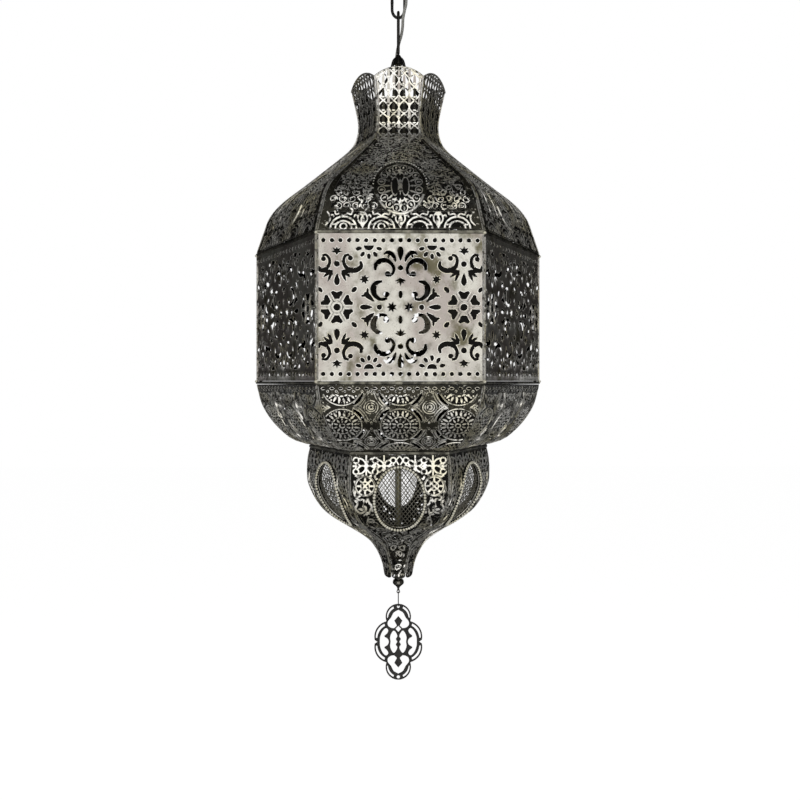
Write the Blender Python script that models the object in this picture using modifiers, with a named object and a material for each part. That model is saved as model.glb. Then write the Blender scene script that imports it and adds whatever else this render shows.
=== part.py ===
"""A hexagonal lantern of pierced sheet metal that hangs from a ceiling canopy on a short chain.

Units are metres and +Z is up. The origin is the centre of the mounting strap's flat top face, which
lies against the ceiling. A height called h is measured up from the lower edge of the lantern's
straight body, and z_of turns it into a world height. Face 0 of the hexagon looks along -Y.
"""

import math

import bmesh
import bpy
from mathutils import Matrix, Vector

# Driving dimensions
SIDES = 6
RIM_RADIUS = 0.1778  # axis to corner over the body's rims, half of 14 inches
RIM_PROUD = 0.0008  # how far a rim's corner stands out from the sheets
SHEET = 0.001  # thickness of the pierced sheets
GAP = 0.0003  # clearance between pieces that touch in the real lantern
MITRE_GAP = 0.00075  # each sheet stops this far short of the corner line, to clear its neighbour

BODY_HEIGHT = 0.155
RIM_HEIGHT = 0.0034
RIM_DEPTH = 0.012
POST_RADIUS = 0.002
POST_CENTRE = 0.1715

CROWN_H = 0.362  # where neighbouring crown petals meet
CROWN_ARC_RADIUS = 0.045
NECK_H = -0.0813
NECK_RING_RADIUS = 0.1115
NECK_RING_HEIGHT = 0.0034
NECK_RING_DEPTH = 0.006
TIP_H = -0.244

WINDOW_H = -0.1343
WINDOW_HALF_WIDTH = 0.0269
WINDOW_HALF_HEIGHT = 0.0358
WINDOW_RING_WIRE = 0.0035
WINDOW_MESH_MARGIN = 0.003
WINDOW_MESH_THICKNESS = 0.0008
WINDOW_MESH_INSET = 0.0031  # behind the sheet's outside, measured level

STRAP_SIZE = (0.090, 0.016, 0.003)
STRAP_SLOT_CENTRE = 0.032
STRAP_SLOT_SIZE = (0.012, 0.005)
CANOPY_RADIUS = 0.060
CANOPY_HEIGHT = 0.027
CANOPY_WALL = 0.0012
STEM_NIPPLE_RADIUS = 0.0048
COLLAR_RADIUS = 0.0115
COLLAR_HEIGHT = 0.0085
COLLAR_BORE = 0.0031
LOOP_WIRE = 0.0045
LOOP_RADIUS = 0.008

WIRE = 0.0036  # chain and hanger
LINK_BOWS_APART = 0.0384  # between the wire centres of a link's two bows
LINK_HALF_WIDTH = 0.0078  # to the wire's centre
LINK_BOW_RISE = 0.0105
LAST_LINK_FOOT_H = 0.4545  # wire centre of the lowest link's bottom bow
HANGER_TIP_H = 0.4614
HANGER_WIDEST_H = 0.4548
HANGER_HALF_WIDTH = 0.0047
HANGER_FOOT_HALF_WIDTH = 0.0021
HUB_TOP_H = 0.408
HUB_FOOT_H = 0.396
HUB_TOP_RADIUS = 0.0025
HUB_FOOT_RADIUS = 0.0058
LEG_RADIUS = 0.002
LEG_DIRECTIONS = (30, 150, 270)  # degrees round the axis

STEM_RADIUS = 0.004
STEM_BORE = 0.0028
CLUSTER_H = 0.040
CLUSTER_RADIUS = 0.057
HOLDER_CIRCLE = 0.042
HOLDER_DIRECTIONS = (90, 210, 330)  # degrees round the axis
HOLDER_RADIUS = 0.0130
HOLDER_HEIGHT = 0.036
HOLDER_BORE = 0.0078
BULB_BASE_RADIUS = 0.0066
BULB_RADIUS = 0.0175
BULB_TOP_H = 0.162

PLATE_RADIUS = 0.0125
PLATE_THICKNESS = 0.002
FINIAL_EYE_H = -0.2636
FINIAL_EYE_RADIUS = 0.0017
FINE_WIRE = 0.0012  # finial eye and pendant hook
HOOK_HALF_WIDTH = 0.002
PENDANT_TOP_H = -0.2791
PENDANT_HALF_HEIGHT = 0.0474
PENDANT_THICKNESS = 0.0015
PENDANT_HOLE_RADIUS = 0.0017

# Corner radius of the sheets (second value) against height h (first value)
UPPER_PROFILE = (
    (0.1594, RIM_RADIUS - RIM_PROUD),
    (0.184, 0.1684),
    (0.203, 0.1608),
    (0.221, 0.1454),
    (0.243, 0.1166),
    (0.265, 0.0884),
    (0.288, 0.0606),
    (0.304, 0.0520),
    (0.3205, 0.0506),
    (0.338, 0.0536),
    (CROWN_H, 0.0591),
)
LOWER_PROFILE = (
    (-0.0793, 0.1108),
    (-0.0726, 0.1315),
    (-0.0626, 0.1451),
    (-0.0476, 0.1591),
    (-0.0297, 0.1700),
    (-0.0118, 0.1752),
    (-0.0044, RIM_RADIUS - RIM_PROUD),
)
BOWL_PROFILE = (
    (TIP_H, 0.0175),
    (-0.2254, 0.0210),
    (-0.2072, 0.0294),
    (-0.1928, 0.0432),
    (-0.1678, 0.0843),
    (-0.1510, 0.1010),
    (-0.1290, 0.1123),
    (-0.1139, 0.1144),
    (-0.0964, 0.1136),
    (-0.0833, 0.1110),
)

# The power cord's route from the collar's bore to the hub, as world points
CORD_RADIUS = 0.0018
CORD_ROUTE = (
    (0.0000, 0.0000, -0.0300),
    (0.0005, 0.0008, -0.0380),
    (0.0034, 0.0043, -0.0470),
    (0.0047, 0.0049, -0.0560),
    (0.0038, 0.0015, -0.0675),
    (0.0040, -0.0020, -0.0770),
    (0.0050, -0.0050, -0.0890),
    (0.0054, -0.0056, -0.1030),
    (0.0070, -0.0053, -0.1180),
    (0.0095, -0.0048, -0.1320),
    (0.0094, -0.0048, -0.1430),
    (0.0072, -0.0046, -0.1520),
    (0.0058, -0.0030, -0.1600),
    (0.0054, 0.0012, -0.1680),
    (0.0040, 0.0062, -0.1760),
    (0.0014, 0.0082, -0.1840),
    (-0.0008, 0.0083, -0.1930),
    (-0.0020, 0.0080, -0.2020),
    (-0.0024, 0.0078, -0.2060),
)

# Values that follow from the dimensions
SHEET_RADIUS = RIM_RADIUS - RIM_PROUD
COS_HALF = math.cos(math.pi / SIDES)  # apothem over corner radius
NIPPLE_TOP_Z = -STRAP_SIZE[2] - GAP
COLLAR_TOP_Z = -CANOPY_HEIGHT - GAP
COLLAR_FOOT_Z = COLLAR_TOP_Z - COLLAR_HEIGHT
LOOP_CENTRE_Z = COLLAR_FOOT_Z - 0.0107
PIVOT_1_Z = LOOP_CENTRE_Z - LOOP_RADIUS
LINK_PITCH = LINK_BOWS_APART - WIRE - GAP
LINK_1_TOP_Z = PIVOT_1_Z + (LOOP_WIRE + WIRE) / 2 + GAP
PIVOT_2_Z = LINK_1_TOP_Z - LINK_BOWS_APART
PIVOT_3_Z = PIVOT_2_Z - LINK_PITCH
PIVOT_4_Z = PIVOT_3_Z - LINK_PITCH
DROP = LAST_LINK_FOOT_H - PIVOT_4_Z  # ceiling to the body's lower edge
HOOK_PIVOT_H = FINIAL_EYE_H - FINIAL_EYE_RADIUS
HOOK_TOP_H = HOOK_PIVOT_H + FINE_WIRE + 0.0002
PENDANT_CENTRE_H = PENDANT_TOP_H - PENDANT_HALF_HEIGHT
PENDANT_HOLE_Z = 0.0439  # above the pendant's centre
PENDANT_PIVOT_H = PENDANT_CENTRE_H + PENDANT_HOLE_Z + PENDANT_HOLE_RADIUS - 0.001


def z_of(h):
    """World height of a height above the body's lower edge."""
    return h - DROP


def clear_scene():
    for obj in list(bpy.data.objects):
        bpy.data.objects.remove(obj)


def new_collection(name):
    collection = bpy.data.collections.new(name)
    bpy.context.scene.collection.children.link(collection)
    return collection


# Materials


def material(name, colour, roughness, metallic, transmission=0.0):
    """A Principled material of one finish."""
    made = bpy.data.materials.new(name)
    made.use_nodes = True
    shader = made.node_tree.nodes["Principled BSDF"]
    shader.inputs["Base Color"].default_value = (*colour, 1.0)
    shader.inputs["Roughness"].default_value = roughness
    shader.inputs["Metallic"].default_value = metallic
    shader.inputs["Transmission Weight"].default_value = transmission
    return made


def make_materials():
    return {
        "aged_silver": material("aged_silver", (0.62, 0.60, 0.53), 0.38, 0.9),
        "dark_frame": material("dark_frame", (0.10, 0.10, 0.09), 0.5, 0.9),
        "cream_beads": material("cream_beads", (0.78, 0.75, 0.64), 0.4, 0.7),
        "wire_mesh": material("wire_mesh", (0.30, 0.29, 0.24), 0.5, 0.9),
        "black_iron": material("black_iron", (0.02, 0.02, 0.02), 0.55, 0.6),
        "bronze": material("bronze", (0.30, 0.25, 0.14), 0.45, 0.9),
        "holder_card": material("holder_card", (0.80, 0.76, 0.66), 0.6, 0.0),
        "bulb_glass": material("bulb_glass", (0.95, 0.93, 0.88), 0.2, 0.0, 0.6),
        "cord_grey": material("cord_grey", (0.62, 0.62, 0.60), 0.5, 0.0),
        "zinc": material("zinc", (0.55, 0.56, 0.57), 0.45, 0.9),
    }


# Shape helpers


def curve_span(a, b, c, d, steps):
    """Points of a Catmull-Rom curve from b up to, but without, c."""
    made = []
    for i in range(steps):
        t = i / steps
        square = (2 * a - 5 * b + 4 * c - d) * t * t
        cube = (3 * b - a - 3 * c + d) * t**3
        made.append(0.5 * (2 * b + (c - a) * t + square + cube))
    return made


def smooth_through(points, per_span):
    """Points along a Catmull-Rom curve through the given points, with its ends held."""
    path = [Vector(p) for p in points]
    padded = [2 * path[0] - path[1], *path, 2 * path[-1] - path[-2]]
    made = []
    for corners in zip(padded, padded[1:], padded[2:], padded[3:]):
        made += curve_span(*corners, per_span)
    return [*made, path[-1]]


def smooth_around(points, per_span):
    """Points along a closed Catmull-Rom curve through (x, z) points."""
    path = [Vector(p) for p in points]
    count = len(path)
    made = []
    for i in range(count):
        made += curve_span(*(path[(i + k) % count] for k in (-1, 0, 1, 2)), per_span)
    return [(p.x, p.y) for p in made]


def profile_point(profile, h):
    """Corner radius of a smoothed profile at height h."""
    curve = smooth_through([(*p, 0.0) for p in profile], 8)
    for low, high in zip(curve, curve[1:]):
        if low.x <= h <= high.x:
            share = (h - low.x) / (high.x - low.x)
            return low.y + (high.y - low.y) * share
    raise ValueError(f"height {h} is outside the profile")


def around(radius, degrees, z=0.0):
    """A place at a radius from the axis."""
    angle = math.radians(degrees)
    return Vector((radius * math.cos(angle), radius * math.sin(angle), z))


def add_object(name, data, finish, pivot=None):
    """Names and places an object whose data is in world coordinates, held by an empty if given."""
    obj = bpy.data.objects.new(name, data)
    PARTS.objects.link(obj)
    if finish is not None and not obj.data.materials:
        obj.data.materials.append(finish)
    if pivot is not None:
        obj.parent = pivot
        obj.matrix_parent_inverse = Matrix.Translation(-Vector(pivot["place"]))
    return obj


def add_pivot(name, z, parent=None):
    """An empty on a joint's axis, below its parent's."""
    pivot = bpy.data.objects.new(name, None)
    PARTS.objects.link(pivot)
    pivot.empty_display_size = 0.01
    pivot["place"] = (0.0, 0.0, z)
    pivot.location = (0.0, 0.0, z)
    if parent is not None:
        pivot.parent = parent
        pivot.location.z = z - parent["place"][2]
    return pivot


def wire_curve(name, points, radius, cyclic=True, resolution=2):
    """Curve data for a round wire along world points."""
    curve = bpy.data.curves.new(name, "CURVE")
    curve.dimensions = "3D"
    curve.bevel_depth = radius
    curve.bevel_resolution = resolution
    curve.use_fill_caps = True
    spline = curve.splines.new("POLY")
    spline.points.add(len(points) - 1)
    for slot, point in zip(spline.points, points):
        slot.co = (*point, 1.0)
    spline.use_cyclic_u = cyclic
    return curve


def turned_mesh(name, profile, closed=False):
    """A mesh for a Screw modifier: (radius, z) points down the outer side."""
    mesh = bpy.data.meshes.new(name)
    edges = [(i, i + 1) for i in range(len(profile) - 1)]
    if closed:
        edges.append((len(profile) - 1, 0))
    mesh.from_pydata([(r, 0.0, z) for r, z in profile], edges, [])
    return mesh


def turn(obj, steps, smooth=True):
    """Spins an object's profile once round Z."""
    screw = obj.modifiers.new("Turn", "SCREW")
    screw.angle = 2 * math.pi
    screw.steps = steps
    screw.render_steps = steps
    screw.use_merge_vertices = True
    screw.merge_threshold = 0.00001
    screw.use_smooth_shade = smooth
    return obj


def add_turned(name, profile, steps, finish, pivot=None, closed=False, smooth=True):
    mesh = turned_mesh(name, profile, closed)
    return turn(add_object(name, mesh, finish, pivot), steps, smooth)


def evaluated_mesh(obj):
    """A plain mesh of what an object's curve or modifiers make, with caps welded."""
    graph = bpy.context.evaluated_depsgraph_get()
    mesh = bpy.data.meshes.new_from_object(obj.evaluated_get(graph), depsgraph=graph)
    work = bmesh.new()
    work.from_mesh(mesh)
    bmesh.ops.remove_doubles(work, verts=work.verts, dist=0.000001)
    work.to_mesh(mesh)
    work.free()
    return mesh


def add_cutter(name, mesh):
    cutter = bpy.data.objects.new(name, mesh)
    CUTTERS.objects.link(cutter)
    cutter.hide_render = True
    cutter.display_type = "WIRE"
    return cutter


def cutter_from(obj, name):
    """Turns a helper object into a hidden mesh tool in the same place."""
    mesh = evaluated_mesh(obj)
    place = obj.matrix_world.copy()
    bpy.data.objects.remove(obj)
    cutter = add_cutter(name, mesh)
    cutter.matrix_world = place
    return cutter


def boolean(obj, tool, operation):
    modifier = obj.modifiers.new(operation.title(), "BOOLEAN")
    modifier.operation = operation
    modifier.solver = "EXACT"
    modifier.object = tool
    return modifier


def wire_tool(name, points, radius, cyclic=False):
    """A hidden mesh of a wire, for joining to another piece."""
    obj = bpy.data.objects.new(name, wire_curve(name, points, radius, cyclic))
    CUTTERS.objects.link(obj)
    bpy.context.view_layer.update()
    return cutter_from(obj, name)


def box_mesh(name, size, centre):
    work = bmesh.new()
    bmesh.ops.create_cube(work, size=1.0)
    bmesh.ops.scale(work, vec=size, verts=work.verts)
    bmesh.ops.translate(work, vec=centre, verts=work.verts)
    mesh = bpy.data.meshes.new(name)
    work.to_mesh(mesh)
    work.free()
    return mesh


def cylinder_mesh(name, radius, z_low, z_high, sides, centre=(0.0, 0.0)):
    work = bmesh.new()
    bmesh.ops.create_cone(
        work,
        cap_ends=True,
        segments=sides,
        radius1=radius,
        radius2=radius,
        depth=z_high - z_low,
        matrix=Matrix.Translation((*centre, (z_high + z_low) / 2)),
    )
    mesh = bpy.data.meshes.new(name)
    work.to_mesh(mesh)
    work.free()
    return mesh


# Sheets of the hexagon. Each is built for face 0 and copied round the axis.


def sheet_mesh(name, rows, columns, inset=0.0, half_width=None, top_rise=None):
    """An open sheet of face 0 through rows of (h, corner radius), outside facing -Y."""
    work = bmesh.new()
    bmesh.ops.create_grid(work, x_segments=columns, y_segments=len(rows) - 1, size=1.0)
    last = len(rows) - 1
    for vertex in work.verts:
        across = vertex.co.x
        row = round((vertex.co.y + 1) / 2 * last)
        h, corner = rows[row]
        half = half_width or corner / 2 - MITRE_GAP
        apothem = corner * COS_HALF - inset
        rise = top_rise(across, half) if top_rise and row == last else 0.0
        lean = (rows[last][1] - rows[last - 1][1]) / (rows[last][0] - rows[last - 1][0])
        vertex.co = (across * half, -apothem - rise * lean * COS_HALF, z_of(h + rise))
    mesh = bpy.data.meshes.new(name)
    work.to_mesh(mesh)
    work.free()
    return mesh


def thickened(mesh, name, thickness, tool=None):
    """The sheet made solid inwards, with a tool cut out of it."""
    obj = bpy.data.objects.new(name, mesh)
    CUTTERS.objects.link(obj)
    solid = obj.modifiers.new("Thickness", "SOLIDIFY")
    solid.thickness = thickness
    solid.offset = -1.0
    solid.use_even_offset = True
    if tool is not None:
        boolean(obj, tool, "DIFFERENCE")
    bpy.context.view_layer.update()
    made = evaluated_mesh(obj)
    bpy.data.objects.remove(obj)
    return made


def add_round_hexagon(name, data, finish, pivot):
    """One copy of the piece on each face, numbered from the front face anticlockwise."""
    for face in range(SIDES):
        obj = add_object(f"{name}_{face + 1}", data, finish, pivot)
        obj.rotation_euler.z = math.tau * face / SIDES


def crown_rise(across, half):
    """How far a petal's round top rises above its corners."""
    reach = math.sqrt(CROWN_ARC_RADIUS**2 - half**2)
    return math.sqrt(CROWN_ARC_RADIUS**2 - (across * half) ** 2) - reach


def smoothed_rows(profile, per_span):
    return [(p.x, p.y) for p in smooth_through([(*q, 0.0) for q in profile], per_span)]


def add_upper_gores(finish, pivot):
    sheet = sheet_mesh("upper_gore", smoothed_rows(UPPER_PROFILE, 1), 4, top_rise=crown_rise)
    add_round_hexagon("upper_gore", thickened(sheet, "upper_gore", SHEET), finish, pivot)


def add_body_panels(finish, pivot):
    apothem = SHEET_RADIUS * COS_HALF
    size = (SHEET_RADIUS - 2 * MITRE_GAP, SHEET, BODY_HEIGHT)
    centre = (0.0, -apothem + SHEET / 2, z_of(BODY_HEIGHT / 2))
    add_round_hexagon("body_panel", box_mesh("body_panel", size, centre), finish, pivot)


def add_lower_gores(finish, pivot):
    sheet = sheet_mesh("lower_gore", smoothed_rows(LOWER_PROFILE, 1), 1)
    add_round_hexagon("lower_gore", thickened(sheet, "lower_gore", SHEET), finish, pivot)


def window_tool():
    """An oval rod through face 0, for the window's opening."""
    mesh = cylinder_mesh("window_tool", 1.0, -0.5, 0.5, 24)
    mesh.transform(Matrix.Diagonal((WINDOW_HALF_WIDTH, WINDOW_HALF_HEIGHT, 0.12, 1.0)))
    mesh.transform(Matrix.Rotation(math.pi / 2, 4, "X"))
    mesh.transform(Matrix.Translation((0.0, -0.09, z_of(WINDOW_H))))
    return add_cutter("window_tool", mesh)


def add_bowl_gores(finish, pivot):
    sheet = sheet_mesh("bowl_gore", smoothed_rows(BOWL_PROFILE, 2), 1)
    made = thickened(sheet, "bowl_gore", SHEET, window_tool())
    add_round_hexagon("bowl_gore", made, finish, pivot)


def window_ring_point(angle):
    """A point of the bead ring's centre line, just outside the sheet of face 0."""
    reach = WINDOW_RING_WIRE / 2 + GAP
    x = (WINDOW_HALF_WIDTH + WINDOW_RING_WIRE / 2) * math.cos(angle)
    h = WINDOW_H + (WINDOW_HALF_HEIGHT + WINDOW_RING_WIRE / 2) * math.sin(angle)
    step = 0.001
    above, below = profile_point(BOWL_PROFILE, h + step), profile_point(BOWL_PROFILE, h - step)
    slope = (above - below) * COS_HALF / (2 * step)
    outward = Vector((0.0, -1.0, -slope)).normalized() * reach
    surface = Vector((x, -profile_point(BOWL_PROFILE, h) * COS_HALF, z_of(h)))
    return surface + outward


def add_window_rings(finish, pivot):
    count = 28
    points = [window_ring_point(math.tau * i / count) for i in range(count)]
    ring = wire_curve("window_ring", points, WINDOW_RING_WIRE / 2, resolution=1)
    add_round_hexagon("window_ring", ring, finish, pivot)


def add_window_meshes(finish, pivot):
    count = 8
    reach = WINDOW_HALF_HEIGHT + WINDOW_MESH_MARGIN
    heights = [WINDOW_H + reach * (2 * i / count - 1) for i in range(count + 1)]
    rows = [(h, profile_point(BOWL_PROFILE, h)) for h in heights]
    half = WINDOW_HALF_WIDTH + WINDOW_MESH_MARGIN
    sheet = sheet_mesh("window_mesh", rows, 1, inset=WINDOW_MESH_INSET, half_width=half)
    made = thickened(sheet, "window_mesh", WINDOW_MESH_THICKNESS)
    add_round_hexagon("window_mesh", made, finish, pivot)


def ring_section(outer, depth, z_low, z_high):
    """A rectangular section for a ring, outer side first, top to bottom."""
    return [(outer, z_high), (outer, z_low), (outer - depth, z_low), (outer - depth, z_high)]


def add_body_frame(finish, pivot):
    """The upper rim, with the lower rim and the corner posts joined to it."""
    upper = (BODY_HEIGHT + GAP, BODY_HEIGHT + GAP + RIM_HEIGHT)
    lower = (-GAP - RIM_HEIGHT, -GAP)
    section = ring_section(RIM_RADIUS, RIM_DEPTH, z_of(upper[0]), z_of(upper[1]))
    frame = add_turned("body_frame", section, SIDES, finish, pivot, closed=True, smooth=False)
    foot_section = ring_section(RIM_RADIUS, RIM_DEPTH, z_of(lower[0]), z_of(lower[1]))
    foot = add_cutter("lower_rim", turned_mesh("lower_rim", foot_section, closed=True))
    turn(foot, SIDES, smooth=False)
    post_low = z_of(lower[0] + RIM_HEIGHT / 2)
    post_high = z_of(upper[1] - RIM_HEIGHT / 2)
    for corner in range(SIDES):
        name = f"post_{corner + 1}"
        place = around(POST_CENTRE, math.degrees(math.tau * corner / SIDES))
        mesh = cylinder_mesh(name, POST_RADIUS, post_low, post_high, 6, (place.x, place.y))
        boolean(frame, add_cutter(name, mesh), "UNION")
    boolean(frame, foot, "UNION")


def add_neck_ring(finish, pivot):
    low = NECK_H - NECK_RING_HEIGHT / 2
    high = low + NECK_RING_HEIGHT
    section = ring_section(NECK_RING_RADIUS, NECK_RING_DEPTH, z_of(low), z_of(high))
    add_turned("neck_ring", section, SIDES, finish, pivot, closed=True, smooth=False)


# Ceiling fitting and chain


def add_mounting_strap(finish):
    mesh = box_mesh("mounting_strap", STRAP_SIZE, (0.0, 0.0, -STRAP_SIZE[2] / 2))
    strap = add_object("mounting_strap", mesh, finish)
    size = (*STRAP_SLOT_SIZE, 4 * STRAP_SIZE[2])
    for number, side in enumerate((-1, 1), 1):
        name = f"strap_slot_{number}"
        slot = box_mesh(name, size, (side * STRAP_SLOT_CENTRE, 0.0, 0.0))
        boolean(strap, add_cutter(name, slot), "DIFFERENCE")


def add_canopy(finish):
    """A shallow round cup with a hole for the nipple, its rim up against the ceiling."""
    bore = STEM_NIPPLE_RADIUS + GAP
    wall = CANOPY_WALL
    top = -GAP
    floor = -CANOPY_HEIGHT
    outside = [
        (CANOPY_RADIUS, top),
        (CANOPY_RADIUS, top - 0.004),
        (CANOPY_RADIUS - 0.004, -0.013),
        (CANOPY_RADIUS - 0.015, -0.021),
        (0.030, -0.0250),
        (0.016, floor),
        (bore, floor),
    ]
    inside = [
        (bore, floor + wall),
        (0.016, floor + wall),
        (0.0297, -0.0250 + wall),
        (CANOPY_RADIUS - 0.0156, -0.021 + wall),
        (CANOPY_RADIUS - 0.0049, -0.013 + wall / 2),
        (CANOPY_RADIUS - wall, top - 0.004),
        (CANOPY_RADIUS - wall, top),
    ]
    add_turned("canopy", outside + inside, 28, finish, closed=True)


def add_canopy_loop(finish):
    """A hollow nipple and collar, with a loop of heavy wire under the collar."""
    section = [
        (STEM_NIPPLE_RADIUS, NIPPLE_TOP_Z),
        (STEM_NIPPLE_RADIUS, COLLAR_TOP_Z),
        (COLLAR_RADIUS - 0.001, COLLAR_TOP_Z),
        (COLLAR_RADIUS, COLLAR_TOP_Z - 0.001),
        (COLLAR_RADIUS, COLLAR_FOOT_Z + 0.001),
        (COLLAR_RADIUS - 0.001, COLLAR_FOOT_Z),
        (COLLAR_BORE, COLLAR_FOOT_Z),
        (COLLAR_BORE, NIPPLE_TOP_Z),
    ]
    collar = add_turned("canopy_loop", section, 20, finish, closed=True)
    turns = [math.pi * (1 + i / 12) for i in range(13)]
    bow = [(0.0, LOOP_RADIUS * math.cos(a), LOOP_CENTRE_Z + LOOP_RADIUS * math.sin(a)) for a in turns]
    top = COLLAR_FOOT_Z + 0.003
    path = [(0.0, -LOOP_RADIUS, top), *bow, (0.0, LOOP_RADIUS, top)]
    boolean(collar, wire_tool("loop_wire", path, LOOP_WIRE / 2), "UNION")


def link_points(top_z, across):
    """Centre line of a link that hangs from top_z, with its width along the unit vector across."""
    centre = top_z - LINK_BOWS_APART / 2
    straight = LINK_BOWS_APART / 2 - LINK_BOW_RISE
    points = []
    steps = 8
    for side in (1, -1):
        for i in range(steps + 1):
            angle = math.pi * i / steps + (0.0 if side == 1 else math.pi)
            place = Vector(across) * (LINK_HALF_WIDTH * math.cos(angle))
            place.z = centre + side * straight + LINK_BOW_RISE * math.sin(angle)
            points.append(place)
    return points


def add_chain_link(number, top_z, across, finish, pivot):
    curve = wire_curve(f"chain_link_{number}", link_points(top_z, across), WIRE / 2)
    add_object(f"chain_link_{number}", curve, finish, pivot)


def add_power_cord(finish):
    """The cord's visible stretch and its run to the canopy, as one tube."""
    curve = wire_curve("power_cord", smooth_through(CORD_ROUTE, 2), CORD_RADIUS, cyclic=False)
    add_object("power_cord", curve, finish)


# Hanger, spider and lamp


def add_hanger_loop(finish, pivot):
    """A long narrow loop across the X axis, with a pointed top."""
    foot_h = HUB_TOP_H + GAP + WIRE / 2 + 0.0002
    right = [
        (0.0, 0.0009, HANGER_TIP_H - 0.0006),
        (0.0, 0.0026, HANGER_TIP_H - 0.0034),
        (0.0, 0.0042, HANGER_WIDEST_H + 0.0006),
        (0.0, HANGER_HALF_WIDTH, HANGER_WIDEST_H - 0.0024),
        (0.0, HANGER_HALF_WIDTH - 0.0003, HANGER_WIDEST_H - 0.008),
        (0.0, HANGER_FOOT_HALF_WIDTH + 0.0004, foot_h + 0.008),
        (0.0, HANGER_FOOT_HALF_WIDTH, foot_h + 0.0016),
        (0.0, 0.0012, foot_h + 0.0003),
    ]
    left = [(x, -y, h) for x, y, h in reversed(right)]
    path = [(0.0, 0.0, HANGER_TIP_H), *right, (0.0, 0.0, foot_h), *left]
    points = [(x, y, z_of(h)) for x, y, h in path]
    add_object("hanger_loop", wire_curve("hanger_loop", points, WIRE / 2), finish, pivot)


def add_spider(finish, pivot):
    """A small hub with three legs that arch out and down to the neck's walls."""
    profile = [
        (0.0, z_of(HUB_TOP_H)),
        (HUB_TOP_RADIUS, z_of(HUB_TOP_H)),
        (0.0046, z_of(0.4045)),
        (HUB_FOOT_RADIUS, z_of(HUB_FOOT_H + 0.0015)),
        (HUB_FOOT_RADIUS - 0.0006, z_of(HUB_FOOT_H)),
        (0.0, z_of(HUB_FOOT_H)),
    ]
    hub = add_turned("spider", profile, 16, finish, pivot)
    leg = (
        (0.0020, 0.4050),
        (0.0062, 0.4022),
        (0.0084, 0.3965),
        (0.0102, 0.3900),
        (0.0220, 0.3720),
        (0.0365, 0.3560),
        (0.0403, 0.3480),
        (0.0406, 0.3300),
    )
    for number, degrees in enumerate(LEG_DIRECTIONS, 1):
        path = [around(r, degrees, z_of(h)) for r, h in leg]
        boolean(hub, wire_tool(f"spider_leg_{number}", path, LEG_RADIUS), "UNION")


def add_stem_tube(finish, pivot):
    top = z_of(HUB_FOOT_H - GAP)
    foot = z_of(TIP_H + 0.0082)
    section = ring_section(STEM_RADIUS, STEM_RADIUS - STEM_BORE, foot, top)
    add_turned("stem_tube", section, 16, finish, pivot, closed=True)


def add_cluster_body(finish, pivot):
    """A shallow dish on the stem that carries the lamp holders."""
    bore = STEM_RADIUS + GAP
    low = z_of(CLUSTER_H)
    section = [
        (0.0100, low + 0.003),
        (CLUSTER_RADIUS - 0.003, low + 0.003),
        (CLUSTER_RADIUS, low + 0.0045),
        (CLUSTER_RADIUS, low + 0.0025),
        (CLUSTER_RADIUS - 0.003, low + 0.001),
        (0.0120, low),
        (0.0090, low - 0.008),
        (bore, low - 0.008),
        (bore, low + 0.008),
        (0.0080, low + 0.008),
    ]
    add_turned("cluster_body", section, 24, finish, pivot, closed=True)


def holder_places():
    for number, degrees in enumerate(HOLDER_DIRECTIONS, 1):
        yield number, around(HOLDER_CIRCLE, degrees)


def add_lamp_holders(finish, pivot):
    """Three open cups that stand on the dish."""
    low = z_of(CLUSTER_H + 0.003 + GAP)
    high = low + HOLDER_HEIGHT
    profile = [
        (0.0, low + 0.008),
        (HOLDER_BORE, low + 0.008),
        (HOLDER_BORE, high),
        (HOLDER_RADIUS - 0.002, high),
        (HOLDER_RADIUS - 0.002, high - 0.010),
        (HOLDER_RADIUS, high - 0.012),
        (HOLDER_RADIUS, low + 0.001),
        (HOLDER_RADIUS - 0.001, low),
        (0.0, low),
    ]
    for number, place in holder_places():
        holder = add_turned(f"lamp_holder_{number}", profile, 14, finish, pivot)
        holder.location = place


def add_bulbs(finish, pivot):
    """Three candle bulbs, each with its base down inside its holder."""
    low = z_of(CLUSTER_H + 0.012 + GAP)
    rim = z_of(CLUSTER_H + HOLDER_HEIGHT + 0.004 + GAP)
    top = z_of(BULB_TOP_H)
    profile = [
        (0.0, top),
        (0.0016, top - 0.001),
        (0.0034, top - 0.008),
        (0.0082, top - 0.022),
        (0.0142, top - 0.038),
        (BULB_RADIUS, top - 0.053),
        (0.0160, top - 0.065),
        (0.0105, rim + 0.004),
        (BULB_BASE_RADIUS, rim),
        (BULB_BASE_RADIUS, low + 0.003),
        (0.0035, low),
        (0.0, low),
    ]
    for number, place in holder_places():
        bulb = add_turned(f"bulb_{number}", profile, 12, finish, pivot)
        bulb.location = place


def add_bottom_plate(finish, pivot):
    top = z_of(TIP_H + 0.0079)
    section = ring_section(PLATE_RADIUS, PLATE_RADIUS - 0.0027, top - PLATE_THICKNESS, top)
    add_turned("bottom_plate", section, 18, finish, pivot, closed=True)


# Finial, hook and pendant


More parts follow.
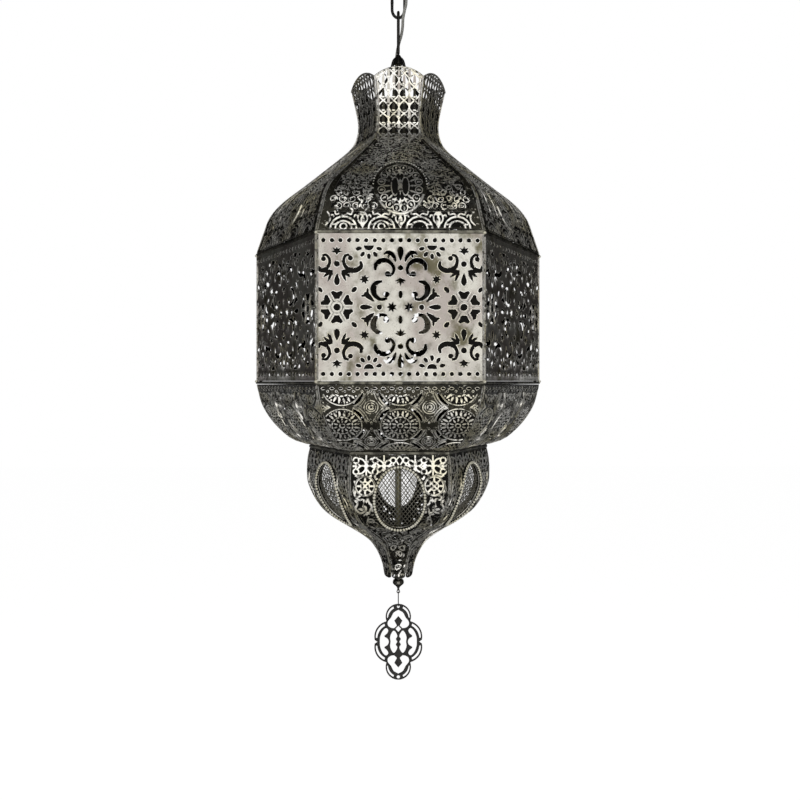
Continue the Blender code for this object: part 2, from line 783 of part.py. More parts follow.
def add_finial(finish, pivot):
    """A turned knob with a threaded stub above it and an eye below it."""
    profile = [
        (0.0, -0.2240),
        (0.0018, -0.2240),
        (0.0023, -0.2250),
        (0.0023, -0.2386),
        (0.0046, -0.2386),
        (0.0044, -0.2440),
        (0.0055, -0.2456),
        (0.0055, -0.2466),
        (0.0048, -0.2474),
        (0.0062, -0.2488),
        (0.0071, -0.2512),
        (0.0069, -0.2530),
        (0.0052, -0.2550),
        (0.0029, -0.2568),
        (0.0015, -0.2588),
        (0.0012, -0.2600),
        (0.0015, -0.2612),
        (0.0009, -0.2621),
        (0.0, -0.2621),
    ]
    knob = add_turned("finial", [(r, z_of(h)) for r, h in profile], 18, finish, pivot)
    count = 14
    path = []
    for i in range(count):
        angle = math.tau * i / count
        x = FINIAL_EYE_RADIUS * math.cos(angle)
        path.append((x, 0.0, z_of(FINIAL_EYE_H) + FINIAL_EYE_RADIUS * math.sin(angle)))
    boolean(knob, wire_tool("finial_eye", path, FINE_WIRE / 2, cyclic=True), "UNION")


def add_pendant_hook(finish, pivot):
    """A long wire loop across the X axis, through the finial's eye and the pendant's hole."""
    radius = HOOK_HALF_WIDTH
    points = []
    steps = 6
    for end_h, start in ((HOOK_TOP_H - radius, 0.0), (PENDANT_PIVOT_H + radius, math.pi)):
        for i in range(steps + 1):
            angle = start + math.pi * i / steps
            points.append((0.0, radius * math.cos(angle), z_of(end_h) + radius * math.sin(angle)))
    curve = wire_curve("pendant_hook", points, FINE_WIRE / 2, resolution=1)
    add_object("pendant_hook", curve, finish, pivot)


def arc(centre, radius, start, end, steps):
    """Points along an arc, angles in degrees."""
    made = []
    for i in range(steps + 1):
        angle = math.radians(start + (end - start) * i / steps)
        made.append((centre[0] + radius * math.cos(angle), centre[1] + radius * math.sin(angle)))
    return made


def mirrored(points, flip_x=False, flip_z=False):
    """The outline flipped, with its direction kept."""
    made = [(-x if flip_x else x, -z if flip_z else z) for x, z in points]
    return made if flip_x == flip_z else made[::-1]


def pendant_outline():
    """The plate's lobed edge, in millimetres from its centre."""
    corner = arc((10.5, 6.5), 19.5, -12, 75, 8)
    crest = arc((0.0, 31.5), 15.9, -19, 84, 8)
    quarter = [(26.0, 0.0), *corner, *crest]
    top = [*quarter, *mirrored([*quarter[1:], (0.0, 47.4)], flip_x=True)]
    return [*top, (-26.0, 0.0), *[(x, -z) for x, z in reversed(top[1:])]]


def pendant_openings():
    """Every opening of the plate, in millimetres from its centre."""
    top_slot = [*arc((0.0, 31.5), 14.1, 64, -8, 5), *arc((-1.4, 29.0), 14.4, 6, 62, 4)]
    side_slot = [*arc((10.5, 6.5), 17.6, 67, -6, 6), *arc((8.0, 3.6), 18.4, 4, 62, 5)]
    arch = [
        (0.0, 40.0),
        (5.8, 36.6),
        (9.0, 30.6),
        (13.0, 25.4),
        (12.9, 20.4),
        (9.3, 17.5),
        (5.4, 16.8),
        (2.2, 19.6),
        (2.0, 20.9),
        (5.0, 26.4),
        (0.0, 32.1),
    ]
    arch_half = arch_outline(arch)
    side = [
        (15.4, 17.5),
        (19.6, 13.6),
        (22.6, 6.6),
        (23.1, 0.0),
        (22.6, -6.6),
        (19.6, -13.6),
        (15.4, -17.0),
        (12.6, -14.2),
        (14.2, -10.0),
        (17.6, -7.0),
        (13.4, -4.0),
        (12.0, 0.0),
        (13.4, 4.0),
        (17.6, 7.0),
        (14.2, 10.6),
        (12.6, 14.6),
    ]
    oval = [
        (5.6, 14.2),
        (8.9, 10.2),
        (10.3, 5.2),
        (9.7, 0.0),
        (10.3, -5.2),
        (8.9, -10.2),
        (5.8, -13.9),
        (2.6, -10.8),
        (1.3, -6.6),
        (3.1, -3.4),
        (1.3, -0.2),
        (3.1, 3.4),
        (1.3, 6.9),
        (2.6, 11.0),
    ]
    diamond = [(0.0, 20.0), (3.6, 16.1), (0.0, 12.3), (-3.6, 16.1)]
    openings = [diamond]
    openings.append(arch_half + mirrored(arch_half[1:-1], flip_x=True))
    openings.append([(x, -z) for x, z in reversed(openings[-1])])
    for flip_x in (False, True):
        openings.append(mirrored(smooth_around(side, 2), flip_x=flip_x))
        openings.append(mirrored(smooth_around(oval, 2), flip_x=flip_x))
        for flip_z in (False, True):
            openings.append(mirrored(top_slot, flip_x, flip_z))
            openings.append(mirrored(side_slot, flip_x, flip_z))
    hole = PENDANT_HOLE_RADIUS * 1000
    for z, radius in ((PENDANT_HOLE_Z * 1000, hole), (-44.0, 2.1)):
        openings.append(arc((0.0, z), radius, 0, 360 - 30, 11))
    return openings


def arch_outline(points):
    """An open outline smoothed only along its first stretch, up to the stem."""
    stem = 7
    curved = smooth_through([(*p, 0.0) for p in points[:stem]], 2)
    return [(p.x, p.y) for p in curved] + list(points[stem:])


def add_pendant(finish, pivot):
    """A flat plate cut to a lobed outline, standing across the Y axis."""
    curve = bpy.data.curves.new("pendant", "CURVE")
    curve.dimensions = "2D"
    curve.fill_mode = "BOTH"
    curve.extrude = PENDANT_THICKNESS / 2
    for outline in (pendant_outline(), *pendant_openings()):
        spline = curve.splines.new("POLY")
        spline.points.add(len(outline) - 1)
        for slot, (x, z) in zip(spline.points, outline):
            slot.co = (x / 1000, z / 1000, 0.0, 1.0)
        spline.use_cyclic_u = True
    pendant = add_object("pendant", curve, finish, pivot)
    pendant.rotation_euler.x = math.pi / 2
    pendant.location.z = z_of(PENDANT_CENTRE_H)


def main():
    looks = make_materials()
    silver, iron = looks["aged_silver"], looks["black_iron"]
    add_mounting_strap(looks["zinc"])
    add_canopy(iron)
    add_canopy_loop(iron)
    add_power_cord(looks["cord_grey"])

    link_1 = add_pivot("link_1_pivot", PIVOT_1_Z)
    link_2 = add_pivot("link_2_pivot", PIVOT_2_Z, link_1)
    link_3 = add_pivot("link_3_pivot", PIVOT_3_Z, link_2)
    lantern = add_pivot("lantern_pivot", PIVOT_4_Z, link_3)
    add_chain_link(1, LINK_1_TOP_Z, (1.0, 0.0, 0.0), iron, link_1)
    add_chain_link(2, PIVOT_2_Z + WIRE + GAP, (0.0, 1.0, 0.0), iron, link_2)
    add_chain_link(3, PIVOT_3_Z + WIRE + GAP, (1.0, 0.0, 0.0), iron, link_3)

    add_hanger_loop(iron, lantern)
    add_spider(iron, lantern)
    add_stem_tube(looks["bronze"], lantern)
    add_cluster_body(looks["bronze"], lantern)
    add_lamp_holders(looks["holder_card"], lantern)
    add_bulbs(looks["bulb_glass"], lantern)
    add_upper_gores(silver, lantern)
    add_body_frame(looks["dark_frame"], lantern)
    add_body_panels(silver, lantern)
    add_lower_gores(silver, lantern)
    add_neck_ring(looks["dark_frame"], lantern)
    add_bowl_gores(silver, lantern)
    add_window_rings(looks["cream_beads"], lantern)
    add_window_meshes(looks["wire_mesh"], lantern)
    add_bottom_plate(looks["dark_frame"], lantern)

    finial = add_pivot("finial_pivot", z_of(TIP_H), lantern)
    hook = add_pivot("hook_pivot", z_of(HOOK_PIVOT_H), finial)
    pendant = add_pivot("pendant_pivot", z_of(PENDANT_PIVOT_H), hook)
    add_finial(iron, finial)
    add_pendant_hook(iron, hook)
    add_pendant(iron, pendant)


clear_scene()
PARTS = new_collection("moroccan_metal_lantern")
CUTTERS = new_collection("cutters")
main()
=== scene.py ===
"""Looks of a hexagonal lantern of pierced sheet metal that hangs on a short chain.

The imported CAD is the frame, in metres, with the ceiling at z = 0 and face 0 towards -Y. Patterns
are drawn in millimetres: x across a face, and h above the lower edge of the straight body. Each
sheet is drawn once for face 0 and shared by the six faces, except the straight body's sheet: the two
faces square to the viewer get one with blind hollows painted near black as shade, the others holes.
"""

import math

import bpy
import numpy as np
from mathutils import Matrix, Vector
from mathutils.geometry import delaunay_2d_cdt


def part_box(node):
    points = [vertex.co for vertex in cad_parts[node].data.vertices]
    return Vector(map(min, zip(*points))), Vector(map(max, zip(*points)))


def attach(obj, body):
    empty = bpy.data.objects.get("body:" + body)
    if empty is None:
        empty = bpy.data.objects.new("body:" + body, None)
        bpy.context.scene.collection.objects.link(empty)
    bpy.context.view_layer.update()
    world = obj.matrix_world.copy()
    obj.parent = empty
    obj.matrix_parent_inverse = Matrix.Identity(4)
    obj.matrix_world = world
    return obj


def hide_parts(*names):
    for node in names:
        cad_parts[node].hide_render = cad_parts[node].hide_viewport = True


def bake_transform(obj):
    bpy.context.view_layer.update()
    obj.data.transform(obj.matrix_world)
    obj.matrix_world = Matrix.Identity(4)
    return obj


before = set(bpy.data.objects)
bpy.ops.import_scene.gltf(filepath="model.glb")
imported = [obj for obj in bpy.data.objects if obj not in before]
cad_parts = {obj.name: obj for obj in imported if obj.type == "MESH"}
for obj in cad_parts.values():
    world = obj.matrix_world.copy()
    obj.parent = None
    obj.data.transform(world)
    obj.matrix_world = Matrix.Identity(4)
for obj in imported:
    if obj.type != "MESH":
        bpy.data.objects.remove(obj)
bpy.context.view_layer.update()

MM = 0.001
SIDES = 6
DROP = -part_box("body_panel_1")[0].z  # ceiling to the body's lower edge
COS_HALF = math.cos(math.pi / SIDES)
MITRE_GAP = 0.75  # mm short of the corner line at each side of a sheet
SHEET = 0.9  # mm, thickness of the pierced sheets
HOLLOW_DEPTH = 0.7  # of the sheet's thickness, for a hollow that doesn't go through
BODY_HEIGHT = 155.0
RIM_RADIUS = 177.8

# Corner radius of the sheets (second value) against height h (first value), both in mm
UPPER_PROFILE = (
    (159.4, 177.0),
    (184, 168.4),
    (203, 160.8),
    (221, 145.4),
    (243, 116.6),
    (265, 88.4),
    (288, 60.6),
    (304, 52.0),
    (320.5, 50.6),
    (338, 53.6),
    (362, 59.1),
    (375, 62.1),
)
BODY_PROFILE = ((0.0, 177.0), (BODY_HEIGHT, 177.0))
LOWER_PROFILE = (
    (-79.3, 110.8),
    (-72.6, 131.5),
    (-62.6, 145.1),
    (-47.6, 159.1),
    (-29.7, 170.0),
    (-11.8, 175.2),
    (-4.4, 177.0),
)
BOWL_PROFILE = (
    (-244, 17.5),
    (-225.4, 21.0),
    (-207.2, 29.4),
    (-192.8, 43.2),
    (-167.8, 84.3),
    (-151.0, 101.0),
    (-129.0, 112.3),
    (-113.9, 114.4),
    (-96.4, 113.6),
    (-83.3, 111.0),
)
WINDOW = (0.0, -134.3, 26.9, 35.8)  # centre x, centre h, half width, half height

# What an outline leaves where it is painted: a hole, the bare sheet, a hollow that does not go
# through, painted near black as shade of the unlit inside, a bright edge of rubbed wear and painted
# highlight, or brighter sheet
OPEN, PLAIN, SHADE_PIT, WEAR_AND_HIGHLIGHT, SILVER = None, 0, 1, 2, 3

# The power cord's route from the collar's bore to the hub
CORD_DIAMETER = 0.0036
CORD_ROUTE = (
    (0.0000, 0.0000, -0.0300),
    (0.0005, 0.0008, -0.0380),
    (0.0034, 0.0043, -0.0470),
    (0.0047, 0.0049, -0.0560),
    (0.0038, 0.0015, -0.0675),
    (0.0040, -0.0020, -0.0770),
    (0.0050, -0.0050, -0.0890),
    (0.0054, -0.0056, -0.1030),
    (0.0070, -0.0053, -0.1180),
    (0.0095, -0.0048, -0.1320),
    (0.0094, -0.0048, -0.1430),
    (0.0072, -0.0046, -0.1520),
    (0.0058, -0.0030, -0.1600),
    (0.0054, 0.0012, -0.1680),
    (0.0040, 0.0062, -0.1760),
    (0.0014, 0.0082, -0.1840),
    (-0.0008, 0.0083, -0.1930),
    (-0.0020, 0.0080, -0.2020),
    (-0.0024, 0.0078, -0.2060),
    (-0.0023, 0.0060, -0.2096),
)


# Curves


def smooth(points, per_span, closed=False):
    """Points along a Catmull-Rom curve through the given points, of any dimension."""
    p = np.array(points, float)
    if closed:
        p = np.vstack([p[-1], p, p[0], p[1]])
    else:
        p = np.vstack([2 * p[0] - p[1], p, 2 * p[-1] - p[-2]])
    made = []
    for a, b, c, d in zip(p, p[1:], p[2:], p[3:]):
        for t in np.arange(per_span) / per_span:
            made.append(
                0.5
                * (
                    2 * b
                    + (c - a) * t
                    + (2 * a - 5 * b + 4 * c - d) * t * t
                    + (3 * b - a - 3 * c + d) * t**3
                )
            )
    return np.array(made if closed else [*made, p[-2]])


class Surface:
    """One curved face of the hexagon: how far out it lies at each height, and its length."""

    def __init__(self, profile, per_span=10):
        curve = smooth(profile, per_span)
        self.h = curve[:, 0]
        self.corner = curve[:, 1]
        self.apothem = self.corner * COS_HALF
        steps = np.hypot(np.diff(self.h), np.diff(self.apothem))
        self.length = np.concatenate([[0.0], np.cumsum(steps)])
        self.low, self.high = self.h[0], self.h[-1]

    def half(self, h):
        """Half the sheet's width."""
        return np.interp(h, self.h, self.corner) / 2 - MITRE_GAP

    def h_of(self, s):
        """Height at a length s below the upper edge, measured along the surface."""
        return float(np.interp(self.length[-1] - s, self.length, self.h))

    def slope(self, h):
        """Change of apothem with height."""
        step = 1.5
        low = np.interp(h - step, self.h, self.apothem)
        high = np.interp(h + step, self.h, self.apothem)
        return (high - low) / (2 * step)

    def place(self, points, lift=0.0):
        """World points of (x, h) points of face 0, lifted off the surface by lift mm."""
        p = np.array(points, float).reshape(-1, 2)
        slope = self.slope(p[:, 1])
        size = np.sqrt(1 + slope**2)
        out = np.interp(p[:, 1], self.h, self.apothem)
        y = -out - lift / size
        z = p[:, 1] - lift * slope / size
        return np.stack([p[:, 0], y, z], 1) * MM - np.array((0.0, 0.0, DROP))


UPPER = Surface(UPPER_PROFILE)
BODY = Surface(BODY_PROFILE)
LOWER = Surface(LOWER_PROFILE)
BOWL = Surface(BOWL_PROFILE)


# Flat outlines, in mm


def placed(x, h, p, q, turn, rise=1.0):
    """The point (p, q) turned about (0, 0), its height scaled by rise, then moved by (x, h)."""
    across = p * math.cos(turn) - q * math.sin(turn)
    up = p * math.sin(turn) + q * math.cos(turn)
    return x + across, h + up * rise


def oval(x, h, rx, ry=None, count=12, tilt=0.0):
    ry = rx if ry is None else ry
    turn = math.radians(tilt)
    made = []
    for i in range(count):
        a = math.tau * i / count
        p, q = rx * math.cos(a), ry * math.sin(a)
        made.append(placed(x, h, p, q, turn))
    return made


def drop(x, h, length, width, heading, count=14):
    """A teardrop with its blunt end towards heading."""
    turn = math.radians(heading)
    made = []
    for i in range(count):
        a = math.tau * (i + 0.5) / count
        p = length / 2 * math.cos(a)
        q = width / 1.54 * math.sin(a) * abs(math.cos(a / 2))
        made.append(placed(x, h, p, q, turn))
    return made


def star(x, h, rays, outer, inner, heading=90.0, squash=1.0):
    made = []
    for i in range(2 * rays):
        a = math.radians(heading) + math.pi * i / rays
        r = inner if i % 2 else outer
        made.append((x + r * math.cos(a), h + r * math.sin(a) * squash))
    return made


def lens(x, h, length, width, heading, rise=1.0):
    """A pointed leaf. rise is how much height one millimetre up the surface gains."""
    turn = math.radians(heading)
    made = []
    for along, across in ((0.5, 0), (0.22, 0.42), (-0.2, 0.5), (-0.5, 0), (-0.2, -0.5), (0.22, -0.42)):
        p, q = along * length, across * width
        made.append(placed(x, h, p, q, turn, rise))
    return made


def band(points, widths, per_span=4):
    """A strip along a smooth spine, as wide as widths says at each of its points."""
    w = [widths] * len(points) if isinstance(widths, (int, float)) else widths
    spine = smooth([(*p, q) for p, q in zip(points, w)], per_span)
    ahead = np.gradient(spine[:, :2], axis=0)
    ahead /= np.linalg.norm(ahead, axis=1)[:, None]
    side = np.stack([-ahead[:, 1], ahead[:, 0]], 1) * np.maximum(spine[:, 2:3], 0.3) / 2
    left, right = spine[:, :2] + side, spine[:, :2] - side
    return [tuple(p) for p in [*left, *right[::-1]]]


def grown(shape, by):
    """The outline moved outwards by a distance."""
    p = np.array(shape, float)
    p = p[np.linalg.norm(p - np.roll(p, 1, 0), axis=1) > 1e-4]
    ahead = np.roll(p, -1, 0) - p
    ahead /= np.linalg.norm(ahead, axis=1)[:, None]
    out = np.stack([ahead[:, 1], -ahead[:, 0]], 1)
    out = out + np.roll(out, 1, 0)
    out /= np.linalg.norm(out, axis=1)[:, None] + 1e-6
    q = np.roll(p, -1, 0)
    side = math.copysign(1.0, (p[:, 0] * q[:, 1] - q[:, 0] * p[:, 1]).sum())
    return [tuple(v) for v in p + out * by * side]


def with_lips(painted, by):
    """The painted outlines, over bright edges round every hole and hollow: rubbed lips that also carry a
    painted highlight.
    """
    return [(grown(s, by), WEAR_AND_HIGHLIGHT) for s, kind in painted if kind in (OPEN, SHADE_PIT)] + list(painted)


def ring(x, h, rx, ry, width, count=16, tilt=0.0, kind=SHADE_PIT):
    """A bright loop of metal round a hole, or round a hollow painted near black as shade."""
    outer = oval(x, h, rx, ry, count, tilt)
    return [(outer, WEAR_AND_HIGHLIGHT), (oval(x, h, rx - width, ry - width, count, tilt), kind)]


def strip(points, width, per_span=4):
    return [(band(points, width, per_span), WEAR_AND_HIGHLIGHT)]


def scroll(points, widths, blob, teeth=()):
    """A C-scroll: a strip that ends in a round blob, notched by metal teeth (x, h, heading)."""
    shapes = [(band(points, widths), OPEN), (oval(*blob), OPEN)]
    for x, h, heading in teeth:
        shapes.append((lens(x, h, 4.4, 1.5, heading), PLAIN))
    return shapes


def mirror(painted, x=True, h=None):
    """The painted outlines and their reflections in x = 0 and, if h is given, in that height."""
    made = list(painted)
    if x:
        made += [([(-p, q) for p, q in s], kind) for s, kind in made]
    if h is not None:
        made += [([(p, 2 * h - q) for p, q in s], kind) for s, kind in made]
    return made


def arc(x, h, radius, start, end, steps, squash=1.0):
    made = []
    for i in range(steps + 1):
        a = math.radians(start + (end - start) * i / steps)
        made.append((x + radius * math.cos(a), h + radius * math.sin(a) * squash))
    return made


def inside(surface, shape, margin, foot=3.0, top=3.0):
    p = np.array(shape)
    wide = np.abs(p[:, 0]) <= surface.half(p[:, 1]) - margin
    tall = (p[:, 1] >= surface.low + foot) & (p[:, 1] <= surface.high - top)
    return bool((wide & tall).all())


def in_oval(x, h, centre_x, centre_h, rx, ry):
    return ((x - centre_x) / rx) ** 2 + ((h - centre_h) / ry) ** 2 < 1


# Meshes


class Build:
    """Collects pieces of mesh, each with the number of its look."""

    def __init__(self):
        self.verts, self.faces, self.look, self.count = [], [], [], 0

    def add(self, verts, faces, look=0):
        """look is one number, or one for each face."""
        verts = np.asarray(verts, float).reshape(-1, 3)
        self.verts.append(verts)
        self.faces += [tuple(int(i) + self.count for i in f) for f in faces]
        self.look += look if isinstance(look, list) else [look] * len(faces)
        self.count += len(verts)

    def mesh(self, name, looks, sharp=38.0):
        made = bpy.data.meshes.new(name)
        made.from_pydata(np.vstack(self.verts).tolist(), [], self.faces)
        made.polygons.foreach_set("material_index", self.look)
        for look in looks:
            made.materials.append(look)
        made.shade_smooth()
        made.set_sharp_from_angle(angle=math.radians(sharp))
        made.validate()
        made.update()
        return made


def tube(points, radius, sides=8, closed=False):
    """A round wire along world points. radius may change along it."""
    p = np.array(points, float)
    n = len(p)
    r = np.broadcast_to(np.asarray(radius, float), (n,))
    if closed:
        ahead = np.roll(p, -1, 0) - np.roll(p, 1, 0)
    else:
        ahead = np.gradient(p, axis=0)
    ahead /= np.linalg.norm(ahead, axis=1)[:, None]
    start = np.cross(ahead[0], (0.0, 0.0, 1.0))
    if np.linalg.norm(start) < 0.2:
        start = np.cross(ahead[0], (1.0, 0.0, 0.0))
    normals = [start / np.linalg.norm(start)]
    for t in ahead[1:]:
        v = normals[-1] - t * (normals[-1] @ t)
        normals.append(v / np.linalg.norm(v))
    verts = []
    for q, t, v, rr in zip(p, ahead, normals, r):
        w = np.cross(t, v)
        for k in range(sides):
            a = math.tau * k / sides
            verts.append(q + (v * math.cos(a) + w * math.sin(a)) * rr)
    faces = []
    for i in range(n if closed else n - 1):
        j = (i + 1) % n
        for k in range(sides):
            m = (k + 1) % sides
            faces.append((i * sides + k, i * sides + m, j * sides + m, j * sides + k))
    if not closed:
        faces.append(tuple(range(sides))[::-1])
        faces.append(tuple((n - 1) * sides + k for k in range(sides)))
    return verts, faces


def lathe(profile, segments, centre=(0.0, 0.0), closed=False, start=0.0):
    """A turned shape from (radius, z) points that run down its outer side."""
    verts, rings = [], []
    for r, z in profile:
        if r < 1e-7:
            rings.append([len(verts)] * segments)
            verts.append((centre[0], centre[1], z))
            continue
        rings.append([len(verts) + k for k in range(segments)])
        for k in range(segments):
            a = start + math.tau * k / segments
            verts.append((centre[0] + r * math.cos(a), centre[1] + r * math.sin(a), z))
    faces = []
    pairs = list(zip(rings, rings[1:]))
    if closed:
        pairs.append((rings[-1], rings[0]))
    for up, down in pairs:
        for k in range(segments):
            m = (k + 1) % segments
            face = []
            for i in (up[k], down[k], down[m], up[m]):
                if i not in face:
                    face.append(i)
            if len(face) > 2:
                faces.append(tuple(face))
    return verts, faces


def ball(centre, radius, segments=10, rings=6, squash=1.0):
    profile = []
    for i in range(rings + 1):
        a = math.pi * i / rings
        profile.append((radius * math.sin(a) if 0 < i < rings else 0.0, radius * math.cos(a) * squash))
    verts, faces = lathe(profile, segments)
    return np.array(verts) + np.array(centre), faces


def cut_outline(outline, painted, rows):
    """Triangles of a flat sheet with their looks, the last outline painted over one deciding."""
    coords, faces, edges = [], [], []
    for shape in [outline, *[s for s, _ in painted]]:
        p = np.array(shape, float)
        q = np.roll(p, -1, 0)
        area = (p[:, 0] * q[:, 1] - q[:, 0] * p[:, 1]).sum()
        order = list(range(len(coords), len(coords) + len(p)))
        coords += [Vector(v) for v in p.tolist()]
        faces.append(order if area > 0 else order[::-1])
    for h in rows:
        edges.append((len(coords), len(coords) + 1))
        coords += [Vector((-400.0, h)), Vector((400.0, h))]
    kinds = [PLAIN, *[kind for _, kind in painted]]
    verts, _, tris, _, _, source = delaunay_2d_cdt(coords, edges, faces, 0, 0.001)
    kept = [(t, kinds[max(s)]) for t, s in zip(tris, source) if 0 in s]
    return np.array([tuple(v) for v in verts]), [(t, kind) for t, kind in kept if kind is not OPEN]


def largest_part(tris, count):
    """The triangles of the biggest connected part, so that nothing floats."""
    parent = list(range(count))

    def root(i):
        while parent[i] != i:
            parent[i] = parent[parent[i]]
            i = parent[i]
        return i

    for (a, b, c), _ in tris:
        ra = root(a)
        parent[root(b)] = ra
        parent[root(c)] = ra
    sizes = {}
    for t, _ in tris:
        r = root(t[0])
        sizes[r] = sizes.get(r, 0) + 1
    best = max(sizes, key=sizes.get)
    return [(t, kind) for t, kind in tris if root(t[0]) == best]


def sheet(build, surface, outline, painted, rows, thickness=SHEET, lip=0.0):
    """Adds a pierced sheet of face 0: its outer and inner side and the walls of its openings."""
    flat, made = cut_outline(outline, painted, rows)
    made = largest_part(made, len(flat))
    used = sorted({i for t, _ in made for i in t})
    number = {old: new for new, old in enumerate(used)}
    tris = [tuple(number[i] for i in t) for t, _ in made]
    flat = flat[used]
    ahead = {(a, b) for t in tris for a, b in zip(t, (*t[1:], t[0]))}
    rim = sorted((a, b) for a, b in ahead if (b, a) not in ahead)
    hollow = [kind == SHADE_PIT for _, kind in made]
    sunk = {(a, b) for t, low in zip(tris, hollow) if low for a, b in zip(t, (*t[1:], t[0]))}
    height = np.zeros(len(flat))
    edge = np.zeros(len(flat), bool)
    edge[[a for a, _ in rim]] = True
    inner = np.abs(flat[:, 0]) < surface.half(flat[:, 1]) - 0.2
    inner &= (flat[:, 1] > surface.low + 0.2) & (flat[:, 1] < surface.high - 0.2)
    height[edge & inner] += lip
    n = len(flat)
    levels = (height, height - thickness, height * 0 - HOLLOW_DEPTH * thickness)
    verts = np.vstack([surface.place(flat, level) for level in levels])
    front = [tuple(i + 2 * n for i in t) if low else t for t, low in zip(tris, hollow)]
    back = [(a + n, c + n, b + n) for a, b, c in tris]
    walls = []
    for a, b in rim:
        top = 2 * n if (a, b) in sunk else 0
        walls.append((b + top, a + top, a + n, b + n))
    for a, b in sorted(sunk):
        if (b, a) in ahead and (b, a) not in sunk:
            walls.append((b + 2 * n, a + 2 * n, a, b))
    # The inner side and the hollows' floors take the near-black look as painted shade, and every hole's walls
    # the bright look as painted highlight on the cut edges.
    look = [kind for _, kind in made] + [SHADE_PIT] * len(back) + [WEAR_AND_HIGHLIGHT] * len(walls)
    build.add(verts, front + back + walls, look)


def wire_on(build, surface, points, radius, lift=0.0, sides=6, closed=False, look=WEAR_AND_HIGHLIGHT):
    """A raised line on face 0 along (x, h) points, radius and lift in mm."""
    path = surface.place(points, lift)
    build.add(*tube(path, radius * MM, sides, closed), look)


# Materials


class Nodes:
    """A material's node tree, with short ways to add what the looks share."""

    def __init__(self, name):
        self.material = bpy.data.materials.new(name)
        self.material.use_nodes = True
        self.tree = self.material.node_tree
        self.shader = self.tree.nodes["Principled BSDF"]
        coords = self.tree.nodes.new("ShaderNodeTexCoord")
        own = self.tree.nodes.new("ShaderNodeObjectInfo")
        shift = self.maths("VECTOR", "SCALE", (1.3, 2.1, 0.7), own.outputs["Random"])
        self.coords = self.maths("VECTOR", "ADD", coords.outputs["Object"], shift)

    def link(self, value, socket):
        if isinstance(value, bpy.types.NodeSocket):
            self.tree.links.new(value, socket)
        else:
            socket.default_value = value

    def maths(self, kind, operation, a, b):
        made = self.tree.nodes.new("ShaderNodeVectorMath" if kind == "VECTOR" else "ShaderNodeMath")
        made.operation = operation
        self.link(a, made.inputs[0])
        self.link(b, made.inputs["Scale"] if operation == "SCALE" else made.inputs[1])
        return made.outputs[0]

    def noise(self, scale, detail=3.0, roughness=0.55, stretch=None):
        made = self.tree.nodes.new("ShaderNodeTexNoise")
        made.inputs["Scale"].default_value = scale
        made.inputs["Detail"].default_value = detail
        made.inputs["Roughness"].default_value = roughness
        where = self.coords if stretch is None else self.maths("VECTOR", "MULTIPLY", self.coords, stretch)
        self.tree.links.new(where, made.inputs["Vector"])
        return made.outputs["Fac"]

    def spread(self, value, low, high, out_low=0.0, out_high=1.0):
        """value from low..high stretched to out_low..out_high, held at both ends."""
        made = self.tree.nodes.new("ShaderNodeMapRange")
        self.link(value, made.inputs["Value"])
        for key, number in zip(("From Min", "From Max", "To Min", "To Max"), (low, high, out_low, out_high)):
            made.inputs[key].default_value = number
        return made.outputs["Result"]

    def mix(self, a, b, share):
        made = self.tree.nodes.new("ShaderNodeMix")
        made.data_type = "RGBA"
        self.link(share, made.inputs["Factor"])
        self.link((*a, 1.0) if isinstance(a, tuple) else a, made.inputs["A"])
        self.link((*b, 1.0) if isinstance(b, tuple) else b, made.inputs["B"])
        return made.outputs["Result"]

    def bump(self, height, distance, under=None):
        made = self.tree.nodes.new("ShaderNodeBump")
        made.inputs["Strength"].default_value = 1.0
        made.inputs["Distance"].default_value = distance
        self.link(height, made.inputs["Height"])
        if under is not None:
            self.link(under, made.inputs["Normal"])
        return made.outputs["Normal"]

    def finish(self, colour, roughness, normal=None, **plain):
        self.link(colour, self.shader.inputs["Base Color"])
        self.link(roughness, self.shader.inputs["Roughness"])
        if normal is not None:
            self.link(normal, self.shader.inputs["Normal"])
        for key, value in plain.items():
            self.shader.inputs[key.replace("_", " ")].default_value = value
        return self.material


def silver_look():
    """Aged silver: ivory, olive and rosy patches, tarnish that also stands in as painted reflection, dark
    specks, and a gently dented surface.
    """
    n = Nodes("aged_silver")
    broad = n.noise(15.0, 3.0, 0.5)
    patch = n.noise(34.0, 4.0, 0.6, (1.0, 1.0, 0.8))
    small = n.noise(120.0, 3.0, 0.6)
    fine = n.noise(800.0, 3.0, 0.6)
    colour = n.mix((0.54, 0.53, 0.49), (0.38, 0.345, 0.325), n.spread(broad, 0.46, 0.56))
    colour = n.mix(colour, (0.12, 0.11, 0.06), n.spread(patch, 0.54, 0.66, 0.0, 0.9))
    colour = n.mix(colour, (0.30, 0.29, 0.25), n.spread(small, 0.56, 0.72, 0.0, 0.6))
    colour = n.mix(colour, (0.12, 0.115, 0.09), n.spread(fine, 0.58, 0.72, 0.0, 0.6))
    roughness = n.spread(patch, 0.35, 0.7, 0.25, 0.44)
    normal = n.bump(broad, 0.0035)
    normal = n.bump(n.noise(75.0, 2.0), 0.0006, normal)
    normal = n.bump(fine, 0.00003, normal)
    return n.finish(colour, roughness, normal, Metallic=0.85)


def blackened_look():
    """Silver left black in the fine work, with rubbed specks and smears."""
    n = Nodes("blackened_silver")
    cloud = n.noise(22.0, 3.0, 0.55)
    rub = n.noise(330.0, 3.0, 0.6)
    fine = n.noise(900.0, 2.0, 0.6)
    colour = n.mix((0.010, 0.010, 0.008), (0.045, 0.042, 0.030), n.spread(cloud, 0.4, 0.62))
    colour = n.mix(colour, (0.60, 0.58, 0.50), n.spread(rub, 0.60, 0.70, 0.0, 0.85))
    normal = n.bump(n.noise(110.0, 2.0), 0.0006)
    normal = n.bump(fine, 0.00004, normal)
    return n.finish(colour, n.spread(cloud, 0.35, 0.7, 0.36, 0.55), normal, Metallic=0.75)


